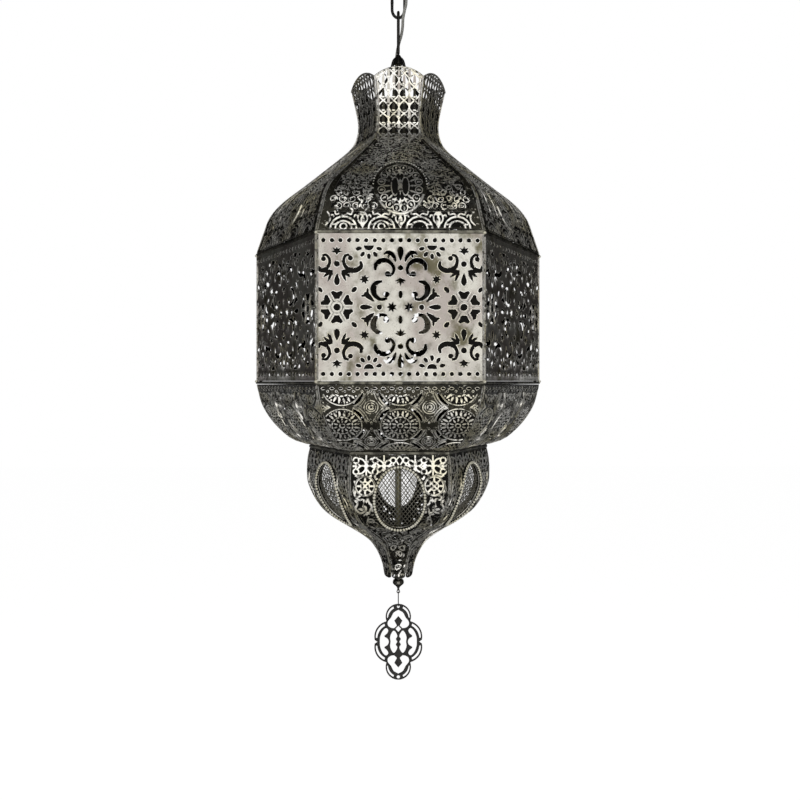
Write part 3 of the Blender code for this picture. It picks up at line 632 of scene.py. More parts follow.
def worn_look():
    """Raised edges rubbed bright, with the black left in stretches between: rubbed wear, and also painted
    highlight on lips, lace strokes and hole walls.
    """
    n = Nodes("rubbed_edges_and_painted_highlights")
    rub = n.noise(210.0, 3.0, 0.65)
    warm = n.noise(24.0, 2.0)
    bright = n.mix((0.97, 0.96, 0.92), (0.84, 0.80, 0.64), n.spread(warm, 0.48, 0.64))
    colour = n.mix((0.045, 0.042, 0.035), bright, n.spread(rub, 0.36, 0.50))
    return n.finish(colour, n.spread(rub, 0.3, 0.7, 0.52, 0.34), None, Metallic=0.85)


def inside_shade_look():
    # Near black, darker than the blackened patina: painted shade of the unlit inside, on the sheets' inner
    # side, their hollows and the wire under the window beads.
    n = Nodes("sheet_inside_painted_shade")
    tone = n.mix((0.002, 0.002, 0.002), (0.012, 0.011, 0.009), n.noise(60.0, 4.0))
    rough = n.spread(n.noise(300.0), 0.3, 0.7, 0.6, 0.8)
    return n.finish(tone, rough, None, Metallic=0.0, Specular_IOR_Level=0.12)


def dark_metal_look(name, dark, light, rough, metallic):
    n = Nodes(name)
    grain = 240.0
    wear = n.noise(70.0, 4.0, 0.6)
    fine = n.noise(grain * 4, 3.0, 0.6)
    colour = n.mix(dark, light, n.spread(wear, 0.42, 0.72))
    normal = n.bump(n.noise(grain, 3.0), 0.00025)
    normal = n.bump(fine, 0.00004, normal)
    return n.finish(colour, n.spread(fine, 0.3, 0.7, *rough), normal, Metallic=metallic)


def bulb_look():
    """Smoky clear glass, unlit."""
    n = Nodes("bulb_glass")
    tone = n.mix((0.040, 0.038, 0.034), (0.075, 0.070, 0.060), n.noise(40.0))
    return n.finish(tone, n.spread(n.noise(500.0), 0.3, 0.7, 0.08, 0.16), None, IOR=1.45)


def card_look():
    n = Nodes("holder_card")
    tone = n.mix((0.74, 0.69, 0.57), (0.55, 0.49, 0.37), n.noise(90.0, 4.0, 0.6, (1.0, 1.0, 0.2)))
    return n.finish(tone, n.spread(n.noise(400.0), 0.3, 0.7, 0.55, 0.75), n.bump(n.noise(500.0), 0.0001))


def cord_look():
    n = Nodes("cord_grey")
    tone = n.mix((0.46, 0.46, 0.44), (0.30, 0.30, 0.28), n.noise(260.0, 3.0, 0.6, (1.0, 1.0, 0.15)))
    return n.finish(tone, n.spread(n.noise(900.0), 0.3, 0.7, 0.38, 0.55), n.bump(n.noise(900.0), 0.00006))


# Dark and light colour, range of roughness, and metallic value
METALS = {
    "dark_frame": ((0.055, 0.053, 0.045), (0.34, 0.33, 0.27), (0.35, 0.6), 0.9),
    "cream_beads": ((0.95, 0.93, 0.82), (0.72, 0.68, 0.50), (0.3, 0.45), 0.1),
    "wire_mesh": ((0.34, 0.33, 0.29), (0.16, 0.15, 0.11), (0.35, 0.6), 0.7),
    "black_iron": ((0.012, 0.012, 0.012), (0.035, 0.033, 0.028), (0.3, 0.5), 0.5),
    "bronze": ((0.42, 0.39, 0.24), (0.22, 0.20, 0.11), (0.34, 0.5), 0.9),
    "polished_iron": ((0.06, 0.06, 0.055), (0.26, 0.25, 0.22), (0.2, 0.34), 0.9),
    "black_plate": ((0.004, 0.004, 0.004), (0.02, 0.019, 0.017), (0.5, 0.7), 0.0),
    "zinc": ((0.60, 0.61, 0.62), (0.40, 0.41, 0.42), (0.35, 0.5), 0.9),
}


def make_looks():
    looks = {name: dark_metal_look(name, *values) for name, values in METALS.items()}
    looks["aged_silver"] = silver_look()
    looks["blackened"] = blackened_look()
    looks["worn"] = worn_look()
    looks["inside"] = inside_shade_look()
    looks["holder_card"] = card_look()
    looks["bulb_glass"] = bulb_look()
    looks["cord_grey"] = cord_look()
    return looks


# Pieces


def add_piece(name, mesh, body, nodes, turn=0.0, place=None):
    obj = bpy.data.objects.new(name, mesh)
    bpy.context.scene.collection.objects.link(obj)
    obj.rotation_euler.z = turn
    if place is not None:
        obj.location = place
    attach(obj, body)
    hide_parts(*nodes)


def add_built(build, looks, name, look, body, node, sharp=38.0):
    """One piece of all that build holds, in the place of one CAD node."""
    mesh = build.mesh(name, [looks[look]], sharp)
    add_piece(name, mesh, body, [node])


def add_faces(name, mesh, node, facing=None):
    """The same mesh on each of the six faces, in the place of that face's CAD node.
    facing is the mesh for the two faces square to the viewer, when it's another one."""
    for face in range(SIDES):
        nodes = [f"{node}_{face + 1}"]
        made = facing if facing and face % 3 == 0 else mesh
        add_piece(f"{name}_{face + 1}", made, "lantern", nodes, math.tau * face / SIDES)


def sheet_outline(surface, low, high, step=4.0):
    """The sheet's edge between two heights, down the left side first."""
    count = max(1, round((high - low) / step))
    heights = [low + (high - low) * i / count for i in range(count + 1)]
    right = [(float(surface.half(h)), h) for h in heights]
    return right + [(-x, h) for x, h in reversed(right)]


# The straight body's panels


def burst(x, h, rays, inner):
    """A leafy star from (heading, length) rays in order, with notches between them."""
    made = []
    for (a, length), (b, _) in zip(rays, [*rays[1:], (rays[0][0] + 360, 0)]):
        for heading, r in ((a, length), ((a + b) / 2, inner)):
            t = math.radians(heading)
            made.append((x + r * math.cos(t), h + r * math.sin(t)))
    return made


def leaf_spray(base, tips, width):
    """Pointed lobes that spread from one base to each tip."""
    made = []
    for tip in tips:
        dx, dh = tip[0] - base[0], tip[1] - base[1]
        middle = ((base[0] + tip[0]) / 2, (base[1] + tip[1]) / 2)
        heading = math.degrees(math.atan2(dh, dx))
        made.append((lens(*middle, math.hypot(dx, dh) * 1.04, width, heading), OPEN))
    return made


# Past this the panels square to the viewer have blind hollows painted near black as shade, where the other
# panels have holes.
SHADE_PIT_FROM = 14.0  # mm from a panel's upright middle line, where its openings turn to black hollows
ROSETTE = 66.8  # mm from that line to the side rosettes' centres


def panel_axis_shapes():
    """The motifs that sit on a panel's upright middle line."""
    half_star = [(-8, 5.8), (-38, 5.4), (-90, 5.8), (-142, 5.4), (-172, 5.8), (-270, 2.6)]
    shapes = [drop(0, 56.2, 15.6, 6.6, 90), oval(0, 41.3, 2.9), burst(0, 28.2, half_star[::-1], 2.6)]
    shapes.append(oval(0, 13.3, 2.1, 4.3))
    shapes += [oval(9.0 * k, 70.2, 2.35) for k in range(-9, 10)]
    return [(s, OPEN) for s in shapes]


def panel_side_shapes():
    """The motifs that sit on a panel's level middle line, at its right half."""
    shapes = [
        drop(35.7, 0, 14.0, 5.8, 0),
        oval(22.2, 0, 2.9),
        star(9.0, 0, 7, 5.5, 2.8, 0),
        oval(ROSETTE, 0, 3.8, count=16),
    ]
    petal = [(8.6, -2.5), (15.4, -6.4), (17.4, -4.4), (15.6, 0), (17.4, 4.4), (15.4, 6.4), (8.6, 2.5)]
    for k in range(6):
        a = math.radians(30 + 60 * k)
        shapes.append([placed(ROSETTE, 0.0, r, t, a) for r, t in petal])
    return [(s, OPEN) for s in shapes]


def panel_scrolls():
    """The C-scrolls of a panel's upper right quarter."""
    made = scroll(
        [(26.5, 38.6), (25.8, 44.2), (21.2, 48.4), (15.0, 49.0),
         (9.8, 45.8), (7.2, 41.0), (7.8, 36.0), (11.4, 33.0)],
        [2.2, 4.4, 5.6, 5.0, 3.8, 3.0, 2.8, 2.6],
        (13.4, 34.8, 3.0),
        [(22.4, 43.6, 40), (19.2, 45.2, 75), (15.6, 45.6, 100)],
    )
    made += scroll(
        [(19.2, 27.0), (25.0, 25.6), (28.2, 21.0), (28.2, 15.4), (25.2, 10.6), (19.8, 7.9), (14.2, 9.4)],
        [2.2, 4.4, 6.0, 5.6, 4.4, 3.4, 2.8],
        (14.9, 13.4, 3.2),
        [(24.0, 22.2, 20), (24.0, 18.2, 0), (23.0, 14.4, -25)],
    )
    made += scroll(
        [(42.1, 48.4), (41.2, 43.2), (45.0, 39.6), (50.8, 38.6),
         (56.6, 41.2), (59.6, 47.2), (58.4, 53.4), (54.0, 55.2)],
        [2.4, 4.4, 5.6, 5.6, 4.4, 3.6, 3.2, 2.8],
        (52.6, 51.4, 2.7),
        [(45.6, 43.4, -70), (49.2, 42.6, -85), (52.8, 43.2, -105)],
    )
    made += scroll(
        [(86.0, 43.2), (84.0, 38.6), (79.0, 39.6), (75.0, 44.4), (74.6, 50.4), (78.2, 54.8), (82.2, 54.0)],
        [2.2, 4.4, 4.6, 3.6, 3.2, 3.0, 2.6],
        (80.8, 50.6, 2.7),
        [(81.8, 43.0, -80), (78.6, 43.8, -110)],
    )
    return made


def panel_quarter():
    """Everything else of a panel's upper right quarter."""
    crown = [(-6, 6.3), (36, 6.1), (90, 5.2), (144, 6.1), (186, 6.3), (270, 4.4)]
    shapes = [
        star(37.8, 29.2, 7, 5.6, 2.8, 100),
        oval(66.7, 45.4, 3.2),
        burst(66.8, 59.0, crown, 2.7),
        drop(66.7, 29.2, 12.8, 6.2, -90),
        oval(48.6, 18.4, 3.7, 2.4, tilt=135),
        oval(84.2, 18.2, 3.4, 2.1, tilt=50),
        arc(33.2, 64.9, 5.4, 180, 360, 8),
        band([(4.9, 47.6), (6.8, 52.8), (10.6, 56.8), (14.6, 57.2), (17.8, 55.0)], [1.2, 3.6, 4.4, 3.4, 0.8]),
        lens(12.4, 53.8, 4.6, 2.6, 110),
        drop(32.6, 10.4, 15.0, 5.8, 42),
    ]
    for a in (-163, -126, -90, -54, -17):
        r = math.radians(a)
        shapes.append(oval(33.2 + 11.3 * math.cos(r), 64.7 + 11.3 * math.sin(r), 3.2, 2.1, 10, a))
    made = [(s, OPEN) for s in shapes]
    made += leaf_spray((34.6, 12.6), [(42.0, 11.6), (34.6, 20.6)], 3.0)
    for side in (-1, 1):
        tips = [(66.7 + side * r, h) for r, h in ((14.6, 31.4), (9.6, 26.8), (15.2, 36.4))]
        made += leaf_spray((66.7 + side * 4.6, 38.6), tips, 3.4)
    return made + panel_scrolls()


def panel_painted(shade_pit_from):
    """A panel's openings, with h from the body's lower edge; further out, blind hollows painted near black as
    shade.
    """
    made = mirror(panel_axis_shapes(), x=False, h=0.0)
    made += mirror(panel_side_shapes())
    made += mirror(panel_quarter(), h=0.0)
    painted = []
    for shape, kind in made:
        if kind is OPEN and min(abs(x) for x, _ in shape) > shade_pit_from:
            kind = SHADE_PIT
        painted.append(([(x, h + BODY_HEIGHT / 2) for x, h in shape], kind))
    return painted


def panel_mesh(looks, name, shade_pit_from):
    build = Build()
    painted = with_lips(panel_painted(shade_pit_from), 0.5)
    sheet(build, BODY, sheet_outline(BODY, 0.0, BODY_HEIGHT, 40.0), painted, [], lip=0.25)
    middle = BODY_HEIGHT / 2
    for side in (-1, 1):
        edge = [(side * 86.8, 1.2), (side * 86.8, middle), (side * 86.8, BODY_HEIGHT - 1.2)]
        wire_on(build, BODY, edge, 0.8)
        wire_on(build, BODY, oval(side * ROSETTE, middle, 6.3, count=24), 0.5, 0.1, closed=True)
        for k in range(6):
            a = math.radians(60 * k)
            spoke = [(side * ROSETTE + r * math.cos(a), middle + r * math.sin(a)) for r in (6.4, 12.0, 17.0)]
            wire_on(build, BODY, spoke, 0.5, 0.1)
    return build.mesh(name, sheet_looks(looks, "aged_silver"))


def add_panels(looks):
    # Four faces have real holes; the two square to the viewer have blind hollows painted near black as shade.
    pierced = panel_mesh(looks, "body_sheet_pierced", math.inf)
    facing = panel_mesh(looks, "body_sheet_facing_shade_pits", SHADE_PIT_FROM)
    add_faces("body_sheet", pierced, "body_panel", facing)


def sheet_looks(looks, bare="blackened"):
    return [looks[bare], looks["inside"], looks["worn"], looks["aged_silver"]]


# The dome and crown


MEDALLION = (0.0, 210.0, 25.0, 32.0)


def medallion_painted():
    """Lace inside the dome's medallion: a wreath of loops round two tall ones, on a hollow painted near black
    as shade.
    """
    x0, h0, rx, ry = MEDALLION
    made = [(oval(x0, h0, rx, ry, 40), SHADE_PIT)]
    count = 16
    for k in range(count):
        a = math.tau * (k + 0.5) / count
        x, h = x0 + 0.82 * rx * math.cos(a), h0 + 0.84 * ry * math.sin(a)
        made += ring(x, h, 4.4, 4.9, 1.0, 10)
        made.append((lens(x, h, 5.0, 2.2, math.degrees(a)), WEAR_AND_HIGHLIGHT))
    for k in range(count):
        a = math.tau * k / count
        x, h = x0 + 0.58 * rx * math.cos(a), h0 + 0.6 * ry * math.sin(a)
        made.append((lens(x, h, 8.0, 1.9, math.degrees(a)), WEAR_AND_HIGHLIGHT))
    for side in (-1, 1):
        made += ring(side * 5.6, h0, 4.6, 12.6, 1.2, 18)
        for up in (-1, 1):
            path = [(0.6, 20.0), (4.6, 16.6), (8.6, 17.0)]
            made += strip([(side * x, h0 + up * h) for x, h in path], 1.5)
    made.append((lens(x0, h0, 24.0, 2.6, 90), WEAR_AND_HIGHLIGHT))
    made += [(lens(x0, h0 + up * 21.0, 12.0, 3.8, 90), WEAR_AND_HIGHLIGHT) for up in (-1, 1)]
    made += [(star(x0, h0 + up * 6.5, 4, 2.6, 1.3), WEAR_AND_HIGHLIGHT) for up in (-1, 0, 1)]
    return made


def dome_band():
    """The lace round the dome's foot: arches, with flowers in them and between them, on a ground painted near
    black as shade.
    """
    low, high = 161.6, 179.4
    made = [([(-77.5, low), (77.5, low), (74.4, high), (-74.4, high)], SHADE_PIT)]
    half = []
    for c in (20.0, 60.0):
        half += strip(arc(c, low - 1.5, 13.6, 0, 180, 12), 1.9, 1)
        half += strip(arc(c, low - 1.5, 8.6, 0, 180, 10), 1.6, 1)
        half += strip(arc(c, low + 1.0, 3.6, 0, 360, 8), 1.5, 1)
        for side in (-1, 1):
            for path, width in (
                ([(0.0, 12.2), (3.6, 15.4), (8.0, 14.4), (9.4, 18.6)], 1.6),
                ([(5.0, 6.0), (8.6, 3.4), (12.6, 3.6)], 1.5),
            ):
                half += strip([(c + side * x, low + h) for x, h in path], width)
    for c in (0.0, 40.0, 79.0):
        half.append((lens(c, low + 6.6, 16.0, 4.6, 90), WEAR_AND_HIGHLIGHT))
        half.append((lens(c, low + 15.4, 5.2, 6.4, 90), WEAR_AND_HIGHLIGHT))
        for side in (-1, 1):
            for path, width in (
                ([(0.0, 2.0), (4.4, 7.4), (4.6, 12.6), (1.6, 17.6)], 1.5),
                ([(4.6, 12.6), (7.6, 14.0), (8.8, 11.4)], 1.4),
            ):
                half += strip([(c + side * x, low + h) for x, h in path], width)
    return made + [p for p in mirror(half) if max(abs(x) for x, _ in p[0]) < 80.0]


def leaf_field(surface, low, high, pitch, size, strip_width, blocked, swirl, through, bright):
    """Small leaves on a ground painted near black as shade, turned in swirls: some are holes, some bright
    with rubbed wear and painted highlight.
    """
    levels = [float(h) for h in np.linspace(low + 2.0, high - 0.5, 24)]
    right = [(float(surface.half(h)) - strip_width(h), h) for h in levels]
    made = [(right + [(-x, h) for x, h in reversed(right)], SHADE_PIT)]
    start = surface.length[-1] - np.interp(low, surface.h, surface.length)
    for row in range(200):
        h = surface.h_of(start - row * pitch * 0.88)
        if h > high or start - row * pitch * 0.88 < 0:
            break
        rise = 1 / math.sqrt(1 + float(surface.slope(h)) ** 2)
        half = float(surface.half(h)) - strip_width(h)
        count = int(half / pitch) + 1
        for k in range(-count, count + 1):
            x = (k + 0.5 * (row % 2)) * pitch
            if abs(x) > half or blocked(x, h):
                continue
            length, width = size(x, h)
            shake = math.sin(x * 12.9898 + h * 78.233) * 43758.5453
            shake -= math.floor(shake)
            x1 = x + 0.2 * pitch * (shake - 0.5)
            h1 = h + 0.3 * pitch * rise * (math.modf(shake * 7.31)[0] - 0.5)
            share = math.modf(shake * 3.7)[0]
            kind = OPEN if share < through else WEAR_AND_HIGHLIGHT if share < through + bright else PLAIN
            made.append((lens(x1, h1, length, width, swirl(x, h) + 50 * (shake - 0.5), rise), kind))
    return made


def curls(surface, low, high, pitch, radius, width, margin, blocked):
    """Bright C-curls over the leaves, turned every way, with an eye in each."""
    made = []
    start = surface.length[-1] - np.interp(low, surface.h, surface.length)
    for row in range(100):
        down = start - (row + 0.5) * pitch * 0.87
        if down < 0 or surface.h_of(down) > high - radius:
            break
        h = surface.h_of(down)
        rise = 1 / math.sqrt(1 + float(surface.slope(h)) ** 2)
        count = int(float(surface.half(h)) / pitch) + 1
        for k in range(-count, count + 1):
            x = (k + 0.5 * (row % 2)) * pitch
            if abs(x) > surface.half(h) - margin - radius or blocked(x, h):
                continue
            turn = 137.5 * row + 97.0 * k * math.copysign(1, x)
            if x < 0:
                turn = 180 - turn
            spine = arc(0.0, 0.0, radius, turn, turn + 235, 9)
            spine += arc(0.0, 0.0, radius * 0.45, turn + 250, turn + 420, 5)
            made += strip([(x + p, h + q * rise) for p, q in spine], width, 1)
    return made


def dome_leaves():
    """The fine perforation between the band and the crown."""

    def blocked(x, h):
        return in_oval(x, h, *MEDALLION[:2], MEDALLION[2] + 4.4, MEDALLION[3] + 4.6)

    def swirl(x, h):
        wave = math.sin(abs(x) / 7.5) * 60 + math.cos(h / 8.5) * 55
        return math.copysign(1, x or 1) * (40 + wave)

    def size(x, h):
        beat = 0.5 + 0.5 * math.sin(x / 6.1) * math.cos(h / 5.3)
        return 4.2 + 1.3 * beat, 1.7 + 0.7 * beat

    def strip_width(h):
        return 10.0 - 6.0 * (h - 180.0) / 110.0

    leaves = leaf_field(UPPER, 181.6, 293.0, 5.1, size, strip_width, blocked, swirl, 0.24, 0.25)
    x0, h0, rx, ry = MEDALLION
    leaves += curls(UPPER, 182.0, 292.0, 9.4, 3.7, 0.95, 6.0, blocked)
    return leaves + [(oval(x0, h0, rx + 3.4, ry + 3.6, 48), PLAIN)]


PETAL_FOOT = 362.0  # h where the crown petal's round top starts
PETAL_RADIUS = 45.0


def crown_edge(inset):
    """The edge of the crown's lace, inset from the sheet's own edge."""
    heights = [296.0 + 6.0 * i for i in range(12)]
    right = [(float(UPPER.half(h)) - inset, h) for h in heights]
    across = [right[-1][0] * (1 - 2 * i / 12) for i in range(1, 12)]
    reach = math.sqrt(PETAL_RADIUS**2 - float(UPPER.half(PETAL_FOOT)) ** 2)
    top = [(x, PETAL_FOOT - inset - reach + math.sqrt(PETAL_RADIUS**2 - x * x)) for x in across]
    return right + top + [(-x, h) for x, h in reversed(right)]


def crown_painted():
    """Crossing waves over a ground painted near black as shade below h 340 and down the middle, open above,
    with a leaf in each eye.
    """
    pitch, rise, foot = 12.4, 15.0, 297.0
    edge = crown_edge(2.0)
    middle = [(-5.0, 330.0), (5.0, 330.0), (5.0, 356.0), (-5.0, 356.0)]
    made = [(edge, OPEN), ([p for p in edge if p[1] < 340.0], SHADE_PIT), (middle, SHADE_PIT)]
    for k in range(-3, 4):
        for row in range(-1, 6):
            for x, h in ((k * pitch, foot + (row + 0.5) * rise), ((k + 0.5) * pitch, foot + row * rise)):
                made.append((lens(x, h, 14.0, 3.4, 90), SILVER if x == k * pitch or h > 345.0 else PLAIN))
                made.append((lens(x, h - 3.6, 4.8, 1.8, 0), WEAR_AND_HIGHLIGHT))
        for side in (-1, 1):
            path = []
            for i in range(47):
                h = foot - rise + i * rise / 8
                x = (k + 0.5) * pitch + side * pitch / 2 * math.cos(math.pi * (h - foot) / rise)
                path.append((x, h))
            made += strip(path, 1.6, 1)
    top = max(h for _, h in crown_edge(1.2))
    return made[:3] + [p for p in made[3:] if any(abs(x) < 28 and 294 < h < top for x, h in p[0])]


def crown_border():
    """The bare metal outside the crown's lace, painted last."""
    outer = crown_edge(-6.0)
    inner = crown_edge(1.6)
    right = [(x, h) for x, h in outer if x > 0] + [(x, h) for x, h in reversed(inner) if x > 0]
    return [(right, SILVER), ([(-x, h) for x, h in right], SILVER)]


def crown_outline():
    """The upper sheet's edge, with the petal's round top."""
    edge = sheet_outline(UPPER, UPPER_PROFILE[0][0], PETAL_FOOT)
    half = float(UPPER.half(PETAL_FOOT))
    reach = math.sqrt(PETAL_RADIUS**2 - half**2)
    middle = len(edge) // 2
    top = []
    for i in range(1, 16):
        x = half * (1 - 2 * i / 16)
        top.append((x, PETAL_FOOT - reach + math.sqrt(PETAL_RADIUS**2 - x * x)))
    return edge[:middle] + top + edge[middle:]


def add_upper_sheets(looks):
    build = Build()
    painted = dome_leaves() + crown_painted() + crown_border()
    painted += dome_band() + medallion_painted()
    rows = list(np.arange(163.0, PETAL_FOOT, 5.5))
    sheet(build, UPPER, crown_outline(), painted, rows, lip=0.2)
    x0, h0, rx, ry = MEDALLION
    wire_on(build, UPPER, oval(x0, h0, rx + 1.4, ry + 1.6, 56), 0.8, 0.1, closed=True, look=0)
    # The ring's lower half is a thicker bright wire, a painted highlight where light catches it.
    crescent = [p for p in oval(x0, h0, rx + 1.2, ry + 1.4, 72) if p[1] < h0 - 0.35 * ry]
    wire_on(build, UPPER, crescent, 1.5, 0.3)
    for k in range(30):
        a = math.pi * (k + 0.5) / 30
        place = (x0 + (rx + 4.0) * math.cos(a), h0 + (ry + 4.4) * math.sin(a))
        build.add(*ball(UPPER.place([place], 0.3)[0], 0.00105, 8, 5), WEAR_AND_HIGHLIGHT)
    for side in (-1, 1):
        for line in (
            [(33, 183), (37, 205), (31, 232), (14, 253), (0, 264)],
            [(53, 183), (56, 204), (46, 234), (24, 258), (7, 276), (0, 286)],
        ):
            path = [(side * x, h) for x, h in smooth(line, 5)]
            wire_on(build, UPPER, path, 0.5, 0.1, 5)
    edge = [(x - math.copysign(0.9, x), h - 0.5) for x, h in crown_outline() if h < PETAL_FOOT - 1.0]
    wire_on(build, UPPER, [p for p in edge if p[0] > 0], 0.65)
    wire_on(build, UPPER, [p for p in edge if p[0] < 0], 0.65)
    crest = [(x, h - 0.9) for x, h in crown_outline() if h >= PETAL_FOOT - 1.0]
    wire_on(build, UPPER, crest, 0.9)
    mesh = build.mesh("upper_sheet", sheet_looks(looks))
    add_faces("upper_sheet", mesh, "upper_gore")


# The band under the body


def on_length(surface, points):
    """(x, s) points, with s measured down the surface, as (x, h) points."""
    return [(x, surface.h_of(s)) for x, s in points]


LOWER_PITCH = (62.0, 46.0)  # across, and down the surface
DIAMOND = (31.0, 24.0)
DIAGONALS = (37, 143, 217, 323)  # degrees from a circle's centre to the diamonds round it
LOWER_RIM = 8.4  # mm down the surface that the rim's dashes and dots take


def lower_fans():
    """Rosettes of leaves and loops in the circles, on a ground painted near black as shade, in (x, s)."""
    made = []
    wide, tall = LOWER_PITCH
    foot = LOWER.length[-1] - 0.6
    for column in (-1, 0, 1):
        for row in range(3):
            x0, s0 = column * wide, 1.0 + row * tall
            disc = arc(x0, s0, 20.0, -90, 260, 35)
            made.append(([p for p in disc if LOWER_RIM < p[1] < foot], SHADE_PIT))
            for radius, count, length, width, across in (
                (15.8, 20, 7.0, 2.3, 0),
                (11.0, 14, 4.6, 1.7, 90),
                (7.0, 10, 5.2, 1.9, 0),
            ):
                for i in range(count):
                    a = 360 * (i + 0.5) / count
                    t = math.radians(a)
                    x, down = x0 + radius * math.cos(t), s0 + radius * math.sin(t)
                    made.append((lens(x, down, length, width, a + across), WEAR_AND_HIGHLIGHT))
            for radius, count in ((18.6, 20), (13.0, 14)):
                for i in range(count):
                    t = math.tau * i / count
                    x, down = x0 + radius * math.cos(t), s0 + radius * math.sin(t)
                    made.append((oval(x, down, 0.95, count=6), OPEN if i % 3 == 0 else WEAR_AND_HIGHLIGHT))
            made += ring(x0, s0, 3.4, 3.4, 1.3, 10)
            for i in range(8):
                t = math.tau * i / 8
                x, down = x0 + 4.0 * math.cos(t), s0 + tall / 2 + 4.0 * math.sin(t)
                made.append((oval(x, down, 1.3, count=6), SHADE_PIT))
    return [p for p in made if all(LOWER_RIM < down < foot for _, down in p[0])]


def lower_slots():
    """Curved slots between each circle and its four neighbouring diamonds."""
    made = []
    for column in (-1, 0, 1):
        for row in range(3):
            centre = (column * LOWER_PITCH[0], 1.0 + row * LOWER_PITCH[1])
            for middle in DIAGONALS:
                spine = arc(*centre, 23.6, middle - 24, middle + 24, 9)
                spine = [p for p in spine if 8.0 < p[1] < LOWER.length[-1]]
                n = len(spine)
                if n > 3:
                    taper = [3.4 * math.sin(math.pi * (i + 0.6) / (n + 0.2)) ** 0.5 for i in range(n)]
                    made.append(band(on_length(LOWER, spine), taper, 2))
    return made


def lower_diamond_holes():
    made = []
    for column in (-3, -1, 1, 3):
        for row in range(2):
            x0, s0 = column * DIAMOND[0], DIAMOND[1] + row * LOWER_PITCH[1]
            made.append(oval(x0, LOWER.h_of(s0), 1.5, count=8))
            for side in (-1, 1):
                made.append(drop(x0 + side * 13.4, LOWER.h_of(s0), 5.6, 4.0, 90 + 90 * side))
                for across in (-3.2, 0.0, 3.2):
                    down = s0 + side * (19.0 - abs(across))
                    made.append(oval(x0 + across, LOWER.h_of(down), 1.0, count=6))
    return made


def lower_painted():
    """Rims of dashes and dots, fans in circles, slots and diamonds; most small holes are hollows painted near
    black as shade.
    """
    small = [lens(9.0 * k, LOWER.h_of(3.6), 4.8, 2.5, 0) for k in range(-10, 11)]
    small += [oval(4.5 * k, LOWER.h_of(6.6), 1.0, count=6) for k in range(-19, 20) if k % 2]
    small += lower_diamond_holes()
    painted = [(s, OPEN if k % 6 == 0 else SHADE_PIT) for k, s in enumerate(small)]
    painted += [(s, OPEN) for s in lower_slots()]
    painted = with_lips([p for p in painted if inside(LOWER, p[0], 2.2, 2.0, 1.2)], 0.42)
    fans = [(on_length(LOWER, shape), kind) for shape, kind in lower_fans()]
    return fans + painted + side_borders(LOWER, 2.4)


def side_borders(surface, width):
    """The bare strips down a sheet's two sides, painted over what runs past them."""
    levels = [float(h) for h in np.linspace(surface.low - 1.0, surface.high + 1.0, 24)]
    inner = [(float(surface.half(h)) - width, h) for h in levels]
    outer = [(float(surface.half(h)) + 30.0, h) for h in reversed(levels)]
    return [(inner + outer, PLAIN), ([(-x, h) for x, h in inner + outer], PLAIN)]


def clipped(surface, points, margin, foot=2.0):
    """The stretches of an (x, h) line that lie on the sheet."""
    runs, run = [], []
    for x, h in points:
        if abs(x) < surface.half(h) - margin and surface.low + foot < h < surface.high - 1.0:
            run.append((x, h))
            continue
        runs.append(run)
        run = []
    return [r for r in [*runs, run] if len(r) > 2]


def lower_line(build, points, wire):
    """A raised line through (x, s) points, where they lie below the rim's dots."""
    kept = [p for p in points if p[1] > 8.2]
    if len(kept) < 3:
        return
    for run in clipped(LOWER, on_length(LOWER, kept), 1.8):
        wire_on(build, LOWER, run, wire, 0.15, 5)


def lower_lines(build):
    """Raised lines: circles, the diamonds' concave sides, and rings inside the diamonds."""
    wide, tall = LOWER_PITCH
    for column in (-1, 0, 1):
        for row in range(3):
            centre = (column * wide, 1.0 + row * tall)
            lower_line(build, arc(*centre, 21.0, 0, 360, 60), 0.75)
            for middle in DIAGONALS:
                lower_line(build, arc(*centre, 26.3, middle - 26, middle + 26, 16), 0.85)
                lower_line(build, arc(*centre, 28.9, middle - 20, middle + 20, 14), 0.7)
    for column in (-3, -1, 1, 3):
        for row in range(2):
            centre = (column * DIAMOND[0], DIAMOND[1] + row * tall)
            for radius in (2.6, 4.9, 7.3):
                lower_line(build, arc(*centre, radius, 0, 360, 28), 0.6)


def add_lower_sheets(looks):
    build = Build()
    low = LOWER_PROFILE[0][0]
    rows = list(np.arange(low + 4.0, -6.0, 5.0))
    sheet(build, LOWER, sheet_outline(LOWER, low, -4.4, 5.0), lower_painted(), rows, lip=0.2)
    lower_lines(build)
    for side in (-1, 1):
        edge = [(side * (float(LOWER.half(h)) - 1.0), float(h)) for h in np.linspace(low + 1.0, -5.4, 18)]
        wire_on(build, LOWER, edge, 0.65)
    mesh = build.mesh("lower_sheet", sheet_looks(looks))
    add_faces("lower_sheet", mesh, "lower_gore")


# The bowl


BOSS = (38.8, -118.0)  # centre of the lace boss to the right of the window
BOWL_TIP = -238.0  # h where the bowl sheet's side edges end


